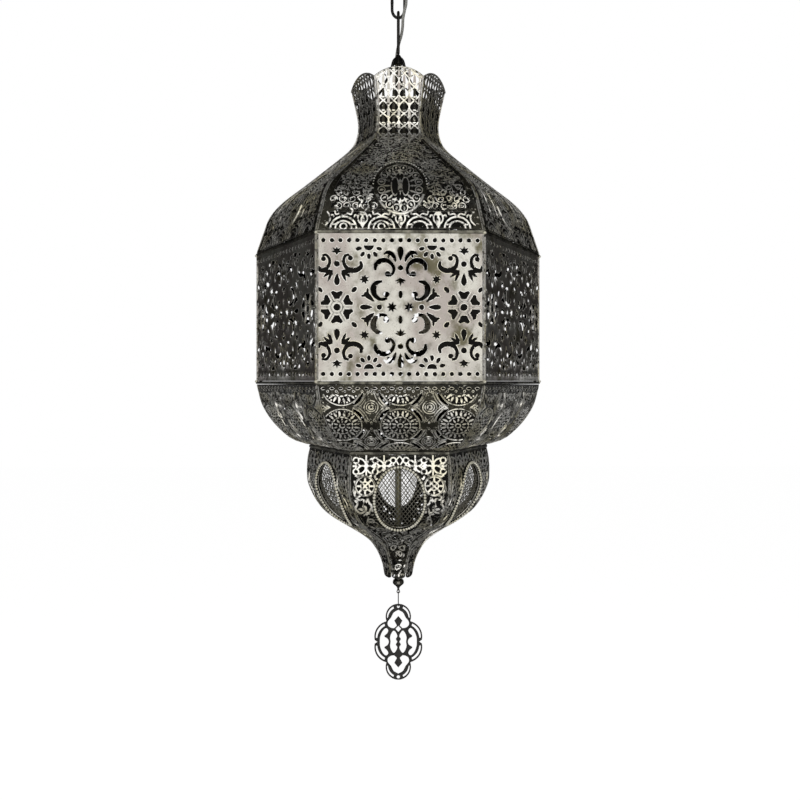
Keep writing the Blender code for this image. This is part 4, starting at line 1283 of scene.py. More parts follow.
def bowl_lace():
    """The lace along the bowl's top: flowers of four loops, rings and curls, on a ground painted near black
    as shade.
    """
    top, foot = -85.6, -105.0
    made = [([(-51.6, top), (51.6, top), (52.6, foot), (-52.6, foot)], SHADE_PIT)]
    half = []
    for c, scale in ((37.5, 1.0), (17.5, 0.8)):
        for heading in (38, 142, 218, 322):
            a = math.radians(heading)
            x, h = c + 7.2 * scale * math.cos(a), -95.6 + 6.4 * scale * math.sin(a)
            half += ring(x, h, 6.6 * scale, 4.6 * scale, 1.9, 14, heading)
        half.append((oval(c, -95.6, 1.9, count=8), WEAR_AND_HIGHLIGHT))
        half += strip([(c, top + 2), (c, foot - 2)], 1.7)
    for x in (27.4, 49.0, 7.2):
        half += ring(x, -89.2, 4.0, 4.0, 1.7, 12)
        half += ring(x, -101.8, 4.0, 3.8, 1.7, 12)
        half += strip([(x - 3.6, -95.6), (x + 3.6, -95.6)], 2.0)
        half += strip([(x, -92.4), (x, -98.8)], 2.0)
    half += strip([(0.0, top + 1), (3.4, -89.0), (1.4, -93.6), (0.0, -96.0)], 1.5)
    return made + mirror(half)


def bowl_sides():
    """Curls and leaves on a ground painted near black as shade, beside the window."""
    levels = np.linspace(-103.0, -152.0, 12)
    outer = [(float(BOWL.half(h)) - 2.4, float(h)) for h in levels]
    field = [(12.0, -103.0), *outer, (12.0, -152.0)]
    made = [(field, SHADE_PIT)]
    for line in (
        [(50.6, -112.0), (49.0, -120.0), (50.4, -128.0), (46.0, -134.0), (41.0, -133.0), (40.0, -137.0)],
        [(47.0, -139.0), (50.0, -144.0), (45.0, -150.0), (39.0, -148.0), (38.0, -143.0), (42.0, -141.5)],
        [(35.6, -131.0), (34.0, -138.0), (30.6, -141.6), (33.0, -146.0), (34.4, -152.0)],
        [(28.0, -106.0), (26.4, -110.0), (22.0, -109.0), (20.0, -105.0)],
        [(50.0, -106.0), (46.0, -107.4), (40.0, -105.4)],
        [(48.4, -131.0), (44.0, -128.6), (47.6, -124.6)],
    ):
        made += strip(line, 2.1)
    for x, h, heading in (
        (44.4, -109.0, 60), (33.0, -107.6, 120), (48.8, -136.0, 40), (37.0, -134.6, 100),
        (43.6, -145.6, 10), (30.0, -148.0, 70), (37.0, -151.0, 150), (47.6, -116.0, 80),
    ):
        made.append((lens(x, h, 6.8, 3.0, heading), WEAR_AND_HIGHLIGHT))
    return mirror(made)


def bowl_medallions():
    """A round boss of lace at each side of the window, on a ground painted near black as shade."""
    made = []
    c, h = BOSS
    made += [(oval(c, h, 11.6, count=28), WEAR_AND_HIGHLIGHT), (oval(c, h, 9.8, count=24), SHADE_PIT)]
    made += ring(c, h, 5.6, 5.6, 1.4, 14)
    for heading in (45, 135):
        a = math.radians(heading)
        dx, dh = 10.6 * math.cos(a), 10.6 * math.sin(a)
        made += strip([(c - dx, h - dh), (c, h), (c + dx, h + dh)], 2.0)
    for heading in (0, 90, 180, 270):
        a = math.radians(heading)
        made.append((lens(c + 7.4 * math.cos(a), h + 7.4 * math.sin(a), 5.8, 2.2, heading), WEAR_AND_HIGHLIGHT))
    return mirror(made)


def bowl_leaves():
    x0, h0, rx, ry = WINDOW

    def blocked(x, h):
        near_window = in_oval(x, h, x0, h0, rx + 5.6, ry + 5.6)
        return near_window or in_oval(abs(x), h, *BOSS, 13.4, 13.4) or h > -106.6

    def swirl(x, h):
        a = abs(x)
        return math.copysign(1, x or 1) * (35 + 70 * math.sin(a / 5.5) + 55 * math.cos(h / 6.5))

    def size(x, h):
        beat = 0.5 + 0.5 * math.cos(x / 4.1) * math.cos(h / 4.7)
        return 4.2 + 1.2 * beat, 1.7 + 0.7 * beat

    def strip_width(h):
        return 4.0 if h > -190 else 2.8

    leaves = leaf_field(BOWL, -239.0, -104.0, 4.4, size, strip_width, blocked, swirl, 0.2, 0.25)
    return leaves + curls(BOWL, -234.0, -150.0, 11.0, 4.0, 1.5, 3.0, blocked)


def bowl_painted():
    x0, h0, rx, ry = WINDOW
    painted = bowl_leaves() + bowl_sides() + bowl_lace()
    painted.append((oval(x0, h0, rx + 4.4, ry + 4.4, 48), PLAIN))
    painted += bowl_medallions()
    painted.append((oval(x0, h0, rx, ry, 60), OPEN))
    return painted


def bowl_tendrils(build):
    """Raised curls down the bowl's flanks."""
    for side in (-1, 1):
        for line in (
            [(50, -112), (52, -124), (47, -136), (50, -150), (42, -164), (31, -176), (16, -192), (12, -210)],
            [(36, -131), (41, -140), (37, -149), (31, -146), (33, -141)],
            [(35, -154), (37, -164), (29, -171), (24, -166), (27, -162)],
            [(0, -176), (8, -181), (9, -189), (3, -192), (2, -187)],
            [(14, -176), (20, -180), (18, -186), (13, -184)],
        ):
            path = [(side * x, h) for x, h in smooth(line, 5)]
            for run in clipped(BOWL, path, 1.6):
                wire_on(build, BOWL, run, 0.6, 0.15, 5)


def bowl_outline():
    """The bowl sheet's edge, with the flared tip's rounded corners."""
    edge = sheet_outline(BOWL, BOWL_TIP, BOWL_PROFILE[-1][0])
    half = float(BOWL.half(BOWL_TIP))
    tip = []
    for i in range(1, 12):
        x = -half * math.cos(math.pi * i / 12)
        tip.append((x, BOWL_TIP - 5.8 * math.sin(math.pi * i / 12) ** 0.6))
    return edge + tip


def add_bowl_sheets(looks):
    build = Build()
    rows = list(np.arange(-240.0, -86.0, 5.0))
    sheet(build, BOWL, bowl_outline(), bowl_painted(), rows, lip=0.2)
    bowl_tendrils(build)
    for side in (-1, 1):
        wire_on(build, BOWL, oval(side * BOSS[0], BOSS[1], 11.4, count=32), 0.8, 0.15, closed=True)
        edge = [(side * (float(BOWL.half(h)) - 1.0), float(h)) for h in np.linspace(-236.0, -84.5, 38)]
        wire_on(build, BOWL, edge, 0.65)
    mesh = build.mesh("bowl_sheet", sheet_looks(looks))
    add_faces("bowl_sheet", mesh, "bowl_gore")


def add_window_rings(looks):
    """A wire round each window, set with small round beads."""
    x0, h0, rx, ry = WINDOW
    build = Build()
    path = oval(x0, h0, rx + 1.75, ry + 1.75, 72)
    # The wire under the beads takes the near-black look, painted shade in the gaps between them.
    wire_on(build, BOWL, path, 1.0, 1.0, 8, True, 1)
    track = BOWL.place(oval(x0, h0, rx + 1.75, ry + 1.75, 720), 1.9)
    steps = np.linalg.norm(np.roll(track, -1, 0) - track, axis=1)
    along = np.concatenate([[0.0], np.cumsum(steps)])
    count = 62
    for k in range(count):
        place = track[int(np.searchsorted(along, along[-1] * k / count)) % len(track)]
        build.add(*ball(place, 0.00162, 10, 7))
    mesh = build.mesh("window_beads", [looks["cream_beads"], looks["inside"]], 60.0)
    add_faces("window_beads", mesh, "window_ring")


def add_window_meshes(looks):
    """Woven wire on the slant behind each window."""
    x0, h0, rx, ry = WINDOW
    build = Build()
    pitch, wire = 4.6, 0.42
    reach = ry + 2.4
    count = int((rx + ry) * 1.5 / pitch)
    for lean in (-1, 1):
        for k in range(-count, count + 1):
            path, lift = [], []
            for i in range(-60, 61):
                h = h0 + i * pitch / 2
                x = x0 + k * pitch + lean * (h - h0) * 0.72
                if in_oval(x, h, x0, h0, rx + 2.4, reach):
                    path.append((x, h))
                    back = -3.5 / math.sqrt(1 + float(BOWL.slope(h)) ** 2)
                    lift.append(back + 0.35 * (1 if (i + k) % 2 else -1) * lean)
            if len(path) > 2:
                points = BOWL.place(path, np.array(lift))
                build.add(*tube(points, wire * MM, 5))
    hem = BOWL.place(oval(x0, h0, rx + 2.2, ry + 2.2, 60), -1.75)
    build.add(*tube(hem, 0.0006, 6, True))
    mesh = build.mesh("window_weave", [looks["wire_mesh"]], 80.0)
    add_faces("window_weave", mesh, "window_mesh")


# Frame, rims and tip


def z_of(h):
    """World height, in metres, of a height in mm above the body's lower edge."""
    return h * MM - DROP


def rim_section(outer, depth, low, high, soft):
    """A rim's section with rounded outer edges, in metres."""
    return [
        ((outer - depth) * MM, z_of(high)),
        ((outer - soft) * MM, z_of(high)),
        ((outer - soft * 0.3) * MM, z_of(high - soft * 0.3)),
        (outer * MM, z_of(high - soft)),
        (outer * MM, z_of(low + soft)),
        ((outer - soft * 0.3) * MM, z_of(low + soft * 0.3)),
        ((outer - soft) * MM, z_of(low)),
        ((outer - depth) * MM, z_of(low)),
    ]


def add_body_frame(looks):
    build = Build()
    for low, high in ((-3.7, -0.3), (155.3, 158.7)):
        build.add(*lathe(rim_section(RIM_RADIUS, 12.0, low, high, 0.8), SIDES, closed=True))
    for k in range(SIDES):
        a = math.tau * k / SIDES
        place = (0.1715 * math.cos(a), 0.1715 * math.sin(a))
        post = [(0.0, z_of(157.5)), (0.002, z_of(157.0)), (0.002, z_of(-2.0)), (0.0, z_of(-2.5))]
        build.add(*lathe(post, 12, place))
        for h in (-0.6, 156.0):
            spot = (0.1772 * math.cos(a), 0.1772 * math.sin(a), z_of(h))
            build.add(*ball(spot, 0.0019, 12, 8, 0.9), 1)
    mesh = build.mesh("body_rims", [looks["dark_frame"], looks["cream_beads"]])
    add_piece("body_rims", mesh, "lantern", ["body_frame"])


def add_neck_ring(looks):
    build = Build()
    build.add(*lathe(rim_section(111.5, 6.0, -83.0, -79.6, 0.8), SIDES, closed=True))
    add_built(build, looks, "neck_rim", "dark_frame", "lantern", "neck_ring")


def rounded_profile(profile, per_span=3):
    """A finer (radius, z) profile through the given one."""
    made = smooth(profile, per_span)
    made[:, 0] = np.maximum(made[:, 0], 0.0)
    return [tuple(p) for p in made]


def add_bottom_plate(looks):
    build = Build()
    top = -244.0 + 7.9
    build.add(*lathe(rim_section(12.5, 9.8, top - 2.0, top, 0.5), 32, closed=True))
    add_built(build, looks, "tip_plate", "dark_frame", "lantern", "bottom_plate")


def add_finial(looks):
    """A threaded stub, a knob turned with beads and grooves, and an eye."""
    build = Build()
    stub = [(0.0, z_of(-224.0)), (0.0019, z_of(-224.0))]
    for k in range(20):
        h = -224.6 - k * 0.7
        stub += [(0.0023, z_of(h)), (0.0019, z_of(h - 0.35))]
    stub.append((0.0019, z_of(-238.7)))
    knob = [
        (4.5, -238.6),
        (4.7, -239.4),
        (4.4, -240.4),
        (4.3, -243.6),
        (5.0, -244.6),
        (5.5, -245.4),
        (5.5, -246.4),
        (4.8, -247.0),
        (4.7, -247.5),
        (5.6, -248.1),
        (6.5, -249.2),
        (7.0, -250.6),
        (7.1, -251.8),
        (6.8, -253.2),
        (5.4, -254.8),
        (3.4, -256.3),
        (2.0, -258.0),
        (1.4, -259.2),
        (1.2, -260.2),
        (1.6, -261.0),
        (1.4, -261.6),
        (0.6, -262.0),
        (0.0, -262.1),
    ]
    profile = stub + [(r * MM, z_of(h)) for r, h in knob]
    build.add(*lathe(profile, 32))
    eye = []
    for i in range(24):
        a = math.tau * i / 24
        eye.append((0.0017 * math.cos(a), 0.0, z_of(-263.6) + 0.0017 * math.sin(a)))
    build.add(*tube(eye, 0.0006, 10, True))
    add_built(build, looks, "finial_knob", "polished_iron", "finial", "finial")


def add_pendant_hook(looks):
    low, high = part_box("pendant_hook")
    radius = 0.002
    points = []
    for end, start in ((high.z - 0.0006 - radius, 0.0), (low.z + 0.0006 + radius, math.pi)):
        for i in range(13):
            a = start + math.pi * i / 12
            points.append((0.0, radius * math.cos(a), end + radius * math.sin(a)))
    build = Build()
    build.add(*tube(points, 0.0006, 10, True))
    add_built(build, looks, "hook_wire", "black_iron", "pendant_hook", "pendant_hook")


def pendant_outline():
    """The plate's lobed edge, in mm from its centre."""
    corner = arc(10.5, 6.5, 19.5, -12, 75, 14)
    crest = arc(0.0, 31.5, 15.9, -19, 84, 14)
    quarter = [(26.0, 0.0), *corner, *crest]
    top = [*quarter, (0.0, 47.4), *[(-x, z) for x, z in quarter[:0:-1]]]
    return [*top, (-26.0, 0.0), *[(x, -z) for x, z in reversed(top[1:])]]


def pendant_openings():
    top_slot = [*arc(0.0, 31.5, 14.1, 64, -8, 9), *arc(-1.4, 29.0, 14.4, 6, 62, 8)]
    side_slot = [*arc(10.5, 6.5, 17.6, 67, -6, 10), *arc(8.0, 3.6, 18.4, 4, 62, 9)]
    arch = smooth([(0, 40), (5.8, 36.6), (9, 30.6), (13, 25.4), (12.9, 20.4), (9.3, 17.5), (5.4, 16.8)], 4)
    arch = [tuple(p) for p in arch] + [(2.2, 19.6), (2.0, 20.9), (5.0, 26.4), (0.0, 32.1)]
    side = [(15.4, 17.3), (19.6, 13.6), (22.6, 6.6), (23.1, 0.0), (22.6, -6.6), (19.6, -13.6), (15.4, -17.3)]
    side += [(12.6, -14.4), (14.2, -10.3), (17.6, -7.0), (13.4, -4.0), (12.0, 0.0)]
    side += [(13.4, 4.0), (17.6, 7.0), (14.2, 10.3), (12.6, 14.4)]
    tall = [(5.7, 14.1), (8.9, 10.2), (10.3, 5.2), (9.7, 0.0), (10.3, -5.2), (8.9, -10.2), (5.7, -14.1)]
    tall += [(2.6, -10.9), (1.3, -6.7), (3.1, -3.4), (1.3, 0.0), (3.1, 3.4), (1.3, 6.7), (2.6, 10.9)]
    openings = [[(0.0, 20.0), (3.6, 16.1), (0.0, 12.3), (-3.6, 16.1)]]
    both = arch + [(-x, z) for x, z in arch[-2:0:-1]]
    openings += [both, [(x, -z) for x, z in both]]
    loops = [[tuple(p) for p in smooth(side, 3, True)], [tuple(p) for p in smooth(tall, 3, True)]]
    openings += [s for s, _ in mirror([(s, OPEN) for s in loops])]
    openings += [s for s, _ in mirror([(s, OPEN) for s in (top_slot, side_slot)], h=0.0)]
    openings += [oval(0.0, 43.9, 1.7, count=16), oval(0.0, -44.0, 2.1, count=16)]
    return openings


def add_pendant(looks):
    """The flat lobed plate, with softened edges."""
    low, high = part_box("pendant")
    soft = 0.0002
    curve = bpy.data.curves.new("pendant_plate", "CURVE")
    curve.dimensions = "2D"
    curve.fill_mode = "BOTH"
    curve.extrude = (high.y - low.y) / 2 - soft
    curve.bevel_depth = soft
    curve.bevel_resolution = 1
    curve.offset = -soft
    for outline in (pendant_outline(), *pendant_openings()):
        spline = curve.splines.new("POLY")
        spline.points.add(len(outline) - 1)
        for point, (x, z) in zip(spline.points, outline):
            point.co = (x * MM, z * MM, 0.0, 1.0)
        spline.use_cyclic_u = True
    holder = bpy.data.objects.new("pendant_curve", curve)
    bpy.context.scene.collection.objects.link(holder)
    graph = bpy.context.evaluated_depsgraph_get()
    mesh = bpy.data.meshes.new_from_object(holder.evaluated_get(graph), depsgraph=graph)
    bpy.data.objects.remove(holder)
    points = np.array([v.co for v in mesh.vertices])
    faces = [tuple(p.vertices) for p in mesh.polygons]
    middle = (high.z + low.z) / 2
    build = Build()
    build.add(np.stack([points[:, 0], -points[:, 2], points[:, 1] + middle], 1), faces)
    add_built(build, looks, "pendant_plate", "black_plate", "pendant", "pendant", 30.0)


# Stem and lamp


HOLDERS = [(0.042 * math.cos(math.radians(d)), 0.042 * math.sin(math.radians(d))) for d in (90, 210, 330)]


def add_stem(looks):
    build = Build()
    profile = [(0.0028, z_of(395.7)), (0.004, z_of(395.7))]
    for h in (382.0, 48.4, 31.6, -170.0):
        bead = ((0.004, 2.2), (0.0047, 1.6), (0.0047, -1.6), (0.004, -2.2))
        profile += [(r, z_of(h + up)) for r, up in bead]
    for k in range(26):
        h = -190.0 - k * 1.6
        profile += [(0.00402, z_of(h)), (0.0036, z_of(h - 0.8))]
    profile += [(0.004, z_of(-235.8)), (0.0028, z_of(-235.8))]
    build.add(*lathe(profile, 28, closed=True))
    add_built(build, looks, "stem_rod", "bronze", "lantern", "stem_tube")


def add_lamp_dish(looks):
    low = z_of(40.0)
    dish = [
        (0.0082, low + 0.008),
        (0.0090, low + 0.006),
        (0.0120, low + 0.0034),
        (0.0540, low + 0.0030),
        (0.0560, low + 0.0042),
        (0.0566, low + 0.0045),
        (0.0570, low + 0.0040),
        (0.0570, low + 0.0026),
        (0.0540, low + 0.0010),
        (0.0120, low),
        (0.0098, low - 0.004),
        (0.0090, low - 0.008),
        (0.0043, low - 0.008),
        (0.0043, low + 0.008),
    ]
    build = Build()
    build.add(*lathe(dish, 48, closed=True))
    add_built(build, looks, "lamp_dish", "bronze", "lantern", "cluster_body")


def holder_mesh(looks):
    """A candle sleeve over a grooved lamp holder."""
    foot = z_of(43.3)
    cup = [(0.0, foot + 0.008), (0.0078, foot + 0.008), (0.0078, foot + 0.036), (0.0110, foot + 0.036)]
    for k in range(7):
        h = foot + 0.0345 - k * 0.0014
        cup += [(0.0112, h), (0.0107, h - 0.0007)]
    cup += [(0.0108, foot + 0.0255), (0.0130, foot + 0.0240), (0.0130, foot + 0.0012)]
    cup += [(0.0124, foot + 0.0002), (0.0, foot)]
    build = Build()
    build.add(*lathe(cup, 32))
    return build.mesh("holder_cup", [looks["holder_card"]])


def bulb_mesh(looks):
    """A candle bulb with its screw base."""
    top = z_of(162.0)
    rim = z_of(80.3)
    glass = [
        (0.0, top),
        (0.0010, top - 0.0005),
        (0.0022, top - 0.004),
        (0.0044, top - 0.012),
        (0.0082, top - 0.022),
        (0.0142, top - 0.038),
        (0.0174, top - 0.053),
        (0.0160, top - 0.065),
        (0.0105, rim + 0.004),
        (0.0066, rim),
    ]
    base = z_of(52.3)
    screw = []
    for k in range(8):
        h = rim - 0.003 - k * 0.0024
        screw += [(0.0066, h), (0.0060, h - 0.0012)]
    screw += [(0.0035, base + 0.001), (0.0030, base), (0.0, base)]
    build = Build()
    build.add(*lathe(rounded_profile(glass) + screw, 32))
    return build.mesh("candle_bulb", [looks["bulb_glass"]])


def add_lamps(looks):
    kinds = (
        ("holder_cup", holder_mesh(looks), "holder_card", "lamp_holder"),
        ("candle_bulb", bulb_mesh(looks), "bulb_glass", "bulb"),
    )
    for number, place in enumerate(HOLDERS, 1):
        for name, mesh, slot, node in kinds:
            nodes = [f"{node}_{number}"]
            add_piece(f"{name}_{number}", mesh, "lantern", nodes, place=(*place, 0.0))


# Hanger, chain and ceiling fitting


WIRE = 0.0018  # radius of the chain's and hanger's wire


def add_hanger(looks):
    foot = 408.0 + 0.3 + 1.8 + 0.2
    right = [
        (0.0009, 460.8),
        (0.0026, 458.0),
        (0.0042, 455.4),
        (0.0047, 452.4),
        (0.0044, 446.8),
        (0.0025, foot + 8.0),
        (0.0021, foot + 1.6),
        (0.0012, foot + 0.3),
    ]
    path = [(0.0, 461.4), *right, (0.0, foot), *[(-y, h) for y, h in reversed(right)]]
    points = [(0.0, y, z_of(h)) for y, h in smooth(path, 4, True)]
    build = Build()
    build.add(*tube(points, WIRE, 14, True))
    add_built(build, looks, "hanger_wire", "black_iron", "lantern", "hanger_loop")


def add_spider(looks):
    hub = [
        (0.0, 408.0),
        (0.0020, 407.9),
        (0.0027, 407.2),
        (0.0034, 406.0),
        (0.0046, 404.0),
        (0.0052, 401.0),
        (0.0058, 397.6),
        (0.0057, 396.6),
        (0.0050, 396.0),
        (0.0, 396.0),
    ]
    build = Build()
    build.add(*lathe([(r, z_of(h)) for r, h in hub], 32))
    leg = [(0.0020, 405.0), (0.0062, 402.2), (0.0084, 396.5), (0.0102, 390.0), (0.0220, 372.0)]
    leg = smooth([*leg, (0.0365, 356.0), (0.0403, 348.0), (0.0406, 330.0)], 5)
    for degrees in (30, 150, 270):
        a = math.radians(degrees)
        path = [(r * math.cos(a), r * math.sin(a), z_of(h)) for r, h in leg]
        build.add(*tube(path, 0.002, 12))
        for h in (345.0, 334.0):
            spot = (0.0426 * math.cos(a), 0.0426 * math.sin(a), z_of(h))
            build.add(*ball(spot, 0.0014, 10, 6))
    add_built(build, looks, "hub_and_legs", "black_iron", "lantern", "spider")


def add_links(looks):
    """Welded oval links, each with a slight swelling where its ends meet."""
    half_wide, rise = 0.0078, 0.0105
    for number in (1, 2, 3):
        low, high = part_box(f"chain_link_{number}")
        centre = (low.z + high.z) / 2
        apart = (high.z - low.z) - 2 * WIRE
        straight = apart / 2 - rise
        across = (high.x - low.x) > (high.y - low.y)
        path, radius = [], []
        for side in (1, -1):
            for i in range(17):
                a = math.pi * i / 16 + (0.0 if side == 1 else math.pi)
                w, z = half_wide * math.cos(a), centre + side * straight + rise * math.sin(a)
                path.append((w, 0.0, z) if across else (0.0, w, z))
            for share in (0.25, 0.42, 0.5, 0.58, 0.75):
                w = -side * half_wide
                z = centre + side * straight * (1 - 2 * share)
                path.append((w, 0.0, z) if across else (0.0, w, z))
        for i in range(len(path)):
            near = abs(i - 19)
            radius.append(WIRE + (0.00022 if near == 0 else 0.00012 if near == 1 else 0.0))
        build = Build()
        build.add(*tube(path, radius, 14, True))
        name, body, node = f"welded_link_{number}", f"link_{number}", f"chain_link_{number}"
        add_built(build, looks, name, "black_iron", body, node, sharp=60.0)


def add_canopy(looks):
    cup = [
        (0.0580, -0.0003),
        (0.0600, -0.0003),
        (0.0600, -0.0022),
        (0.0592, -0.0030),
        (0.0597, -0.0040),
        (0.0588, -0.0080),
        (0.0566, -0.0125),
        (0.0520, -0.0172),
        (0.0450, -0.0210),
        (0.0380, -0.0232),
        (0.0300, -0.0248),
        (0.0200, -0.0256),
        (0.0190, -0.0264),
        (0.0160, -0.0270),
        (0.0051, -0.0270),
        (0.0051, -0.0258),
        (0.0160, -0.0258),
        (0.0297, -0.0236),
        (0.0444, -0.0198),
        (0.0540, -0.0138),
        (0.0578, -0.0080),
        (0.0588, -0.0043),
        (0.0588, -0.0012),
    ]
    build = Build()
    build.add(*lathe(cup, 72, closed=True))
    add_built(build, looks, "canopy_cup", "black_iron", "ceiling_fitting", "canopy")


def add_canopy_loop(looks):
    low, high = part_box("canopy_loop")
    top = high.z
    collar = -0.0273
    section = [
        (0.0048, top),
        (0.0048, collar + 0.0002),
        (0.0105, collar),
        (0.0113, collar - 0.0006),
        (0.0115, collar - 0.0014),
        (0.0109, collar - 0.0022),
        (0.0109, collar - 0.0062),
        (0.0115, collar - 0.0070),
        (0.0112, collar - 0.0080),
        (0.0104, collar - 0.0085),
        (0.0031, collar - 0.0085),
        (0.0031, top),
    ]
    build = Build()
    build.add(*lathe(section, 32, closed=True))
    radius, wire = 0.008, 0.00225
    centre = low.z + wire + radius
    bow = []
    for i in range(21):
        a = math.pi * (1 + i / 20)
        bow.append((0.0, radius * math.cos(a), centre + radius * math.sin(a)))
    head = collar - 0.0055
    path = [(0.0, -radius, head), (0.0, -radius, (head + centre) / 2), *bow]
    path += [(0.0, radius, (head + centre) / 2), (0.0, radius, head)]
    build.add(*tube(path, wire, 14))
    build.add(*ball((0.0, -0.0108, collar - 0.0042), 0.0016, 12, 6))
    add_built(build, looks, "collar_and_loop", "black_iron", "ceiling_fitting", "canopy_loop")


def add_strap(looks):
    """The flat mounting strap, with rounded ends and two screw slots."""
    flat = Surface(((-60.0, 0.0), (60.0, 0.0)))
    outline = arc(37.5, 0.0, 8.0, -90, 90, 12) + arc(-37.5, 0.0, 8.0, 90, 270, 12)
    outline = [(x * 45.0 / 45.5, h) for x, h in outline]
    slots = []
    for side in (-1, 1):
        c = side * 32.0
        slots.append((arc(c + 3.5, 0.0, 2.5, -90, 90, 8) + arc(c - 3.5, 0.0, 2.5, 90, 270, 8), OPEN))
    build = Build()
    sheet(build, flat, outline, slots, [], thickness=3.0)
    build.look = [0] * len(build.look)
    verts = np.vstack(build.verts) + np.array((0.0, 0.0, DROP))
    build.verts = [np.stack([verts[:, 0], verts[:, 2], verts[:, 1] - verts[:, 1].max()], 1)]
    build.faces = [f[::-1] for f in build.faces]
    add_built(build, looks, "strap_plate", "zinc", "ceiling_fitting", "mounting_strap")


def stretch(route, top, foot):
    """The part of the cord's route between two heights, cut exactly at both."""
    down = -route[:, 2]
    top, foot = min(top, float(route[0, 2])), max(foot, float(route[-1, 2]))
    ends = [[float(np.interp(-z, down, route[:, axis])) for axis in range(3)] for z in (top, foot)]
    inner = [p.tolist() for p in route if foot + 0.0006 < p[2] < top - 0.0006]
    return [tuple(p) for p in (ends[0], *inner, ends[1])]


def add_cords(looks):
    """The cord beside the chain, in four stretches, each across one of the chain's joints."""
    route = smooth(CORD_ROUTE, 4)
    cuts = (-0.030, -0.070, -0.105, -0.139, -0.2096)
    joints = (
        ("ceiling_fitting", "link_1", -0.0545),
        ("link_1", "link_2", -0.08855),
        ("link_2", "link_3", -0.12305),
        ("link_3", "lantern", -0.15755),
    )
    for number, (upper, lower, pivot) in enumerate(joints, 1):
        path = stretch(route, cuts[number - 1], cuts[number])
        build = Build()
        build.add(*tube(path, CORD_DIAMETER / 2, 14))
        mesh = build.mesh(f"cord_{number}", [looks["cord_grey"]], 60.0)
        obj = bpy.data.objects.new(f"cord_{number}", mesh)
        bpy.context.scene.collection.objects.link(obj)
        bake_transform(obj)
        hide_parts("power_cord")


# Camera, floor and lights


def add_camera():
    camera = bpy.data.objects.new("camera", bpy.data.cameras.new("camera"))
    bpy.context.scene.collection.objects.link(camera)
    turn = math.radians(-0.86)
    camera.location = (0.95 * math.sin(turn), -0.95 * math.cos(turn), -DROP)
    camera.rotation_euler = (math.pi / 2, 0.0, turn)
    camera.data.sensor_width = 36.0
    camera.data.lens = 34.14
    camera.data.shift_x = 0.0021
    camera.data.shift_y = -0.0238
    camera.data.clip_start = 0.01
    bpy.context.scene.camera = camera


def seen_or_lighting(tree, seen, lighting):
    """Mixes two shaders: one as the camera meets it, and one as other rays do."""
    path = tree.nodes.new("ShaderNodeLightPath")
    mix = tree.nodes.new("ShaderNodeMixShader")
    tree.links.new(path.outputs["Is Camera Ray"], mix.inputs["Fac"])
    tree.links.new(lighting, mix.inputs[1])
    tree.links.new(seen, mix.inputs[2])
    return mix.outputs["Shader"]


def add_world():
    world = bpy.data.worlds.new("studio")
    world.use_nodes = True
    bpy.context.scene.world = world
    tree = world.node_tree
    tree.nodes.clear()
    out = tree.nodes.new("ShaderNodeOutputWorld")
    shaders = []
    for colour, strength in (((1.0, 1.0, 1.0), 1.0), ((1.0, 0.99, 0.96), 0.009)):
        made = tree.nodes.new("ShaderNodeBackground")
        made.inputs["Color"].default_value = (*colour, 1.0)
        made.inputs["Strength"].default_value = strength
        shaders.append(made.outputs["Background"])
    tree.links.new(seen_or_lighting(tree, *shaders), out.inputs["Surface"])


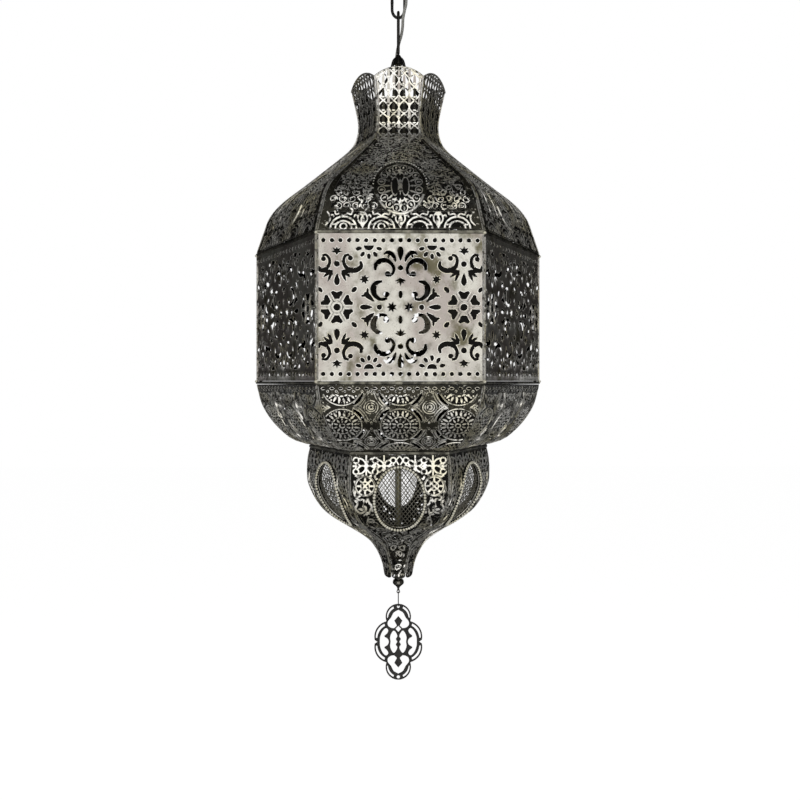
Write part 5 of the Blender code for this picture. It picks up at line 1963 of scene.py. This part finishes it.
def add_floor():
    mesh = bpy.data.meshes.new("floor")
    r, z = 14.0, -2.3
    mesh.from_pydata([(-r, -r, z), (r, -r, z), (r, r, z), (-r, r, z)], [], [(0, 1, 2, 3)])
    floor = bpy.data.objects.new("floor", mesh)
    bpy.context.scene.collection.objects.link(floor)
    made = bpy.data.materials.new("pale_floor")
    made.use_nodes = True
    tree = made.node_tree
    tree.nodes.clear()
    out = tree.nodes.new("ShaderNodeOutputMaterial")
    matte = tree.nodes.new("ShaderNodeBsdfDiffuse")
    matte.inputs["Color"].default_value = (0.20, 0.20, 0.20, 1.0)
    pale = tree.nodes.new("ShaderNodeBsdfDiffuse")
    pale.inputs["Color"].default_value = (0.5, 0.5, 0.5, 1.0)
    glow = tree.nodes.new("ShaderNodeEmission")
    glow.inputs["Color"].default_value = (1.0, 1.0, 1.0, 1.0)
    glow.inputs["Strength"].default_value = 0.99
    both = tree.nodes.new("ShaderNodeAddShader")
    tree.links.new(pale.outputs["BSDF"], both.inputs[0])
    tree.links.new(glow.outputs["Emission"], both.inputs[1])
    surface = seen_or_lighting(tree, both.outputs["Shader"], matte.outputs["BSDF"])
    tree.links.new(surface, out.inputs["Surface"])
    floor.data.materials.append(made)


def add_softbox(name, place, target, size, power, colour=(1.0, 1.0, 1.0)):
    data = bpy.data.lights.new(name, "AREA")
    data.shape = "RECTANGLE"
    data.size, data.size_y = size
    data.energy = power
    data.color = colour
    light = bpy.data.objects.new(name, data)
    bpy.context.scene.collection.objects.link(light)
    light.location = place
    light.rotation_euler = (Vector(target) - Vector(place)).to_track_quat("-Z", "Y").to_euler()
    light.visible_camera = False


def add_lights():
    heart = (0.0, 0.0, -0.55)
    add_softbox("front_box", (0.0, -2.3, -0.7), heart, (2.5, 3.0), 34.0, (1.0, 0.985, 0.95))
    add_softbox("low_box", (0.0, -1.25, -1.95), heart, (1.2, 0.8), 3.5, (1.0, 0.985, 0.95))
    add_softbox("key_box", (0.0, -1.9, 0.95), heart, (0.6, 0.6), 6.0, (1.0, 0.985, 0.95))
    for side in (-1, 1):
        add_softbox("side_box", (side * 2.2, -1.2, 0.0), heart, (0.6, 1.6), 1.0)
        add_softbox("flank_box", (side * 2.3, -0.62, -1.45), heart, (0.9, 0.9), 0.5)
        add_softbox("rear_box", (side * 1.6, 2.0, -1.15), heart, (1.0, 1.0), 3.0)
        add_softbox("back_box", (side * 0.8, 2.4, -0.3), heart, (1.0, 1.8), 7.0)


def main():
    looks = make_looks()
    add_camera()
    add_cords(looks)
    add_world()
    add_floor()
    add_lights()
    add_upper_sheets(looks)
    add_panels(looks)
    add_lower_sheets(looks)
    add_bowl_sheets(looks)
    add_window_rings(looks)
    add_window_meshes(looks)
    add_body_frame(looks)
    add_neck_ring(looks)
    add_bottom_plate(looks)
    add_stem(looks)
    add_lamp_dish(looks)
    add_lamps(looks)
    add_hanger(looks)
    add_spider(looks)
    add_links(looks)
    add_canopy(looks)
    add_canopy_loop(looks)
    add_strap(looks)
    add_finial(looks)
    add_pendant_hook(looks)
    add_pendant(looks)
    bpy.context.scene.view_settings.view_transform = "Standard"


main()
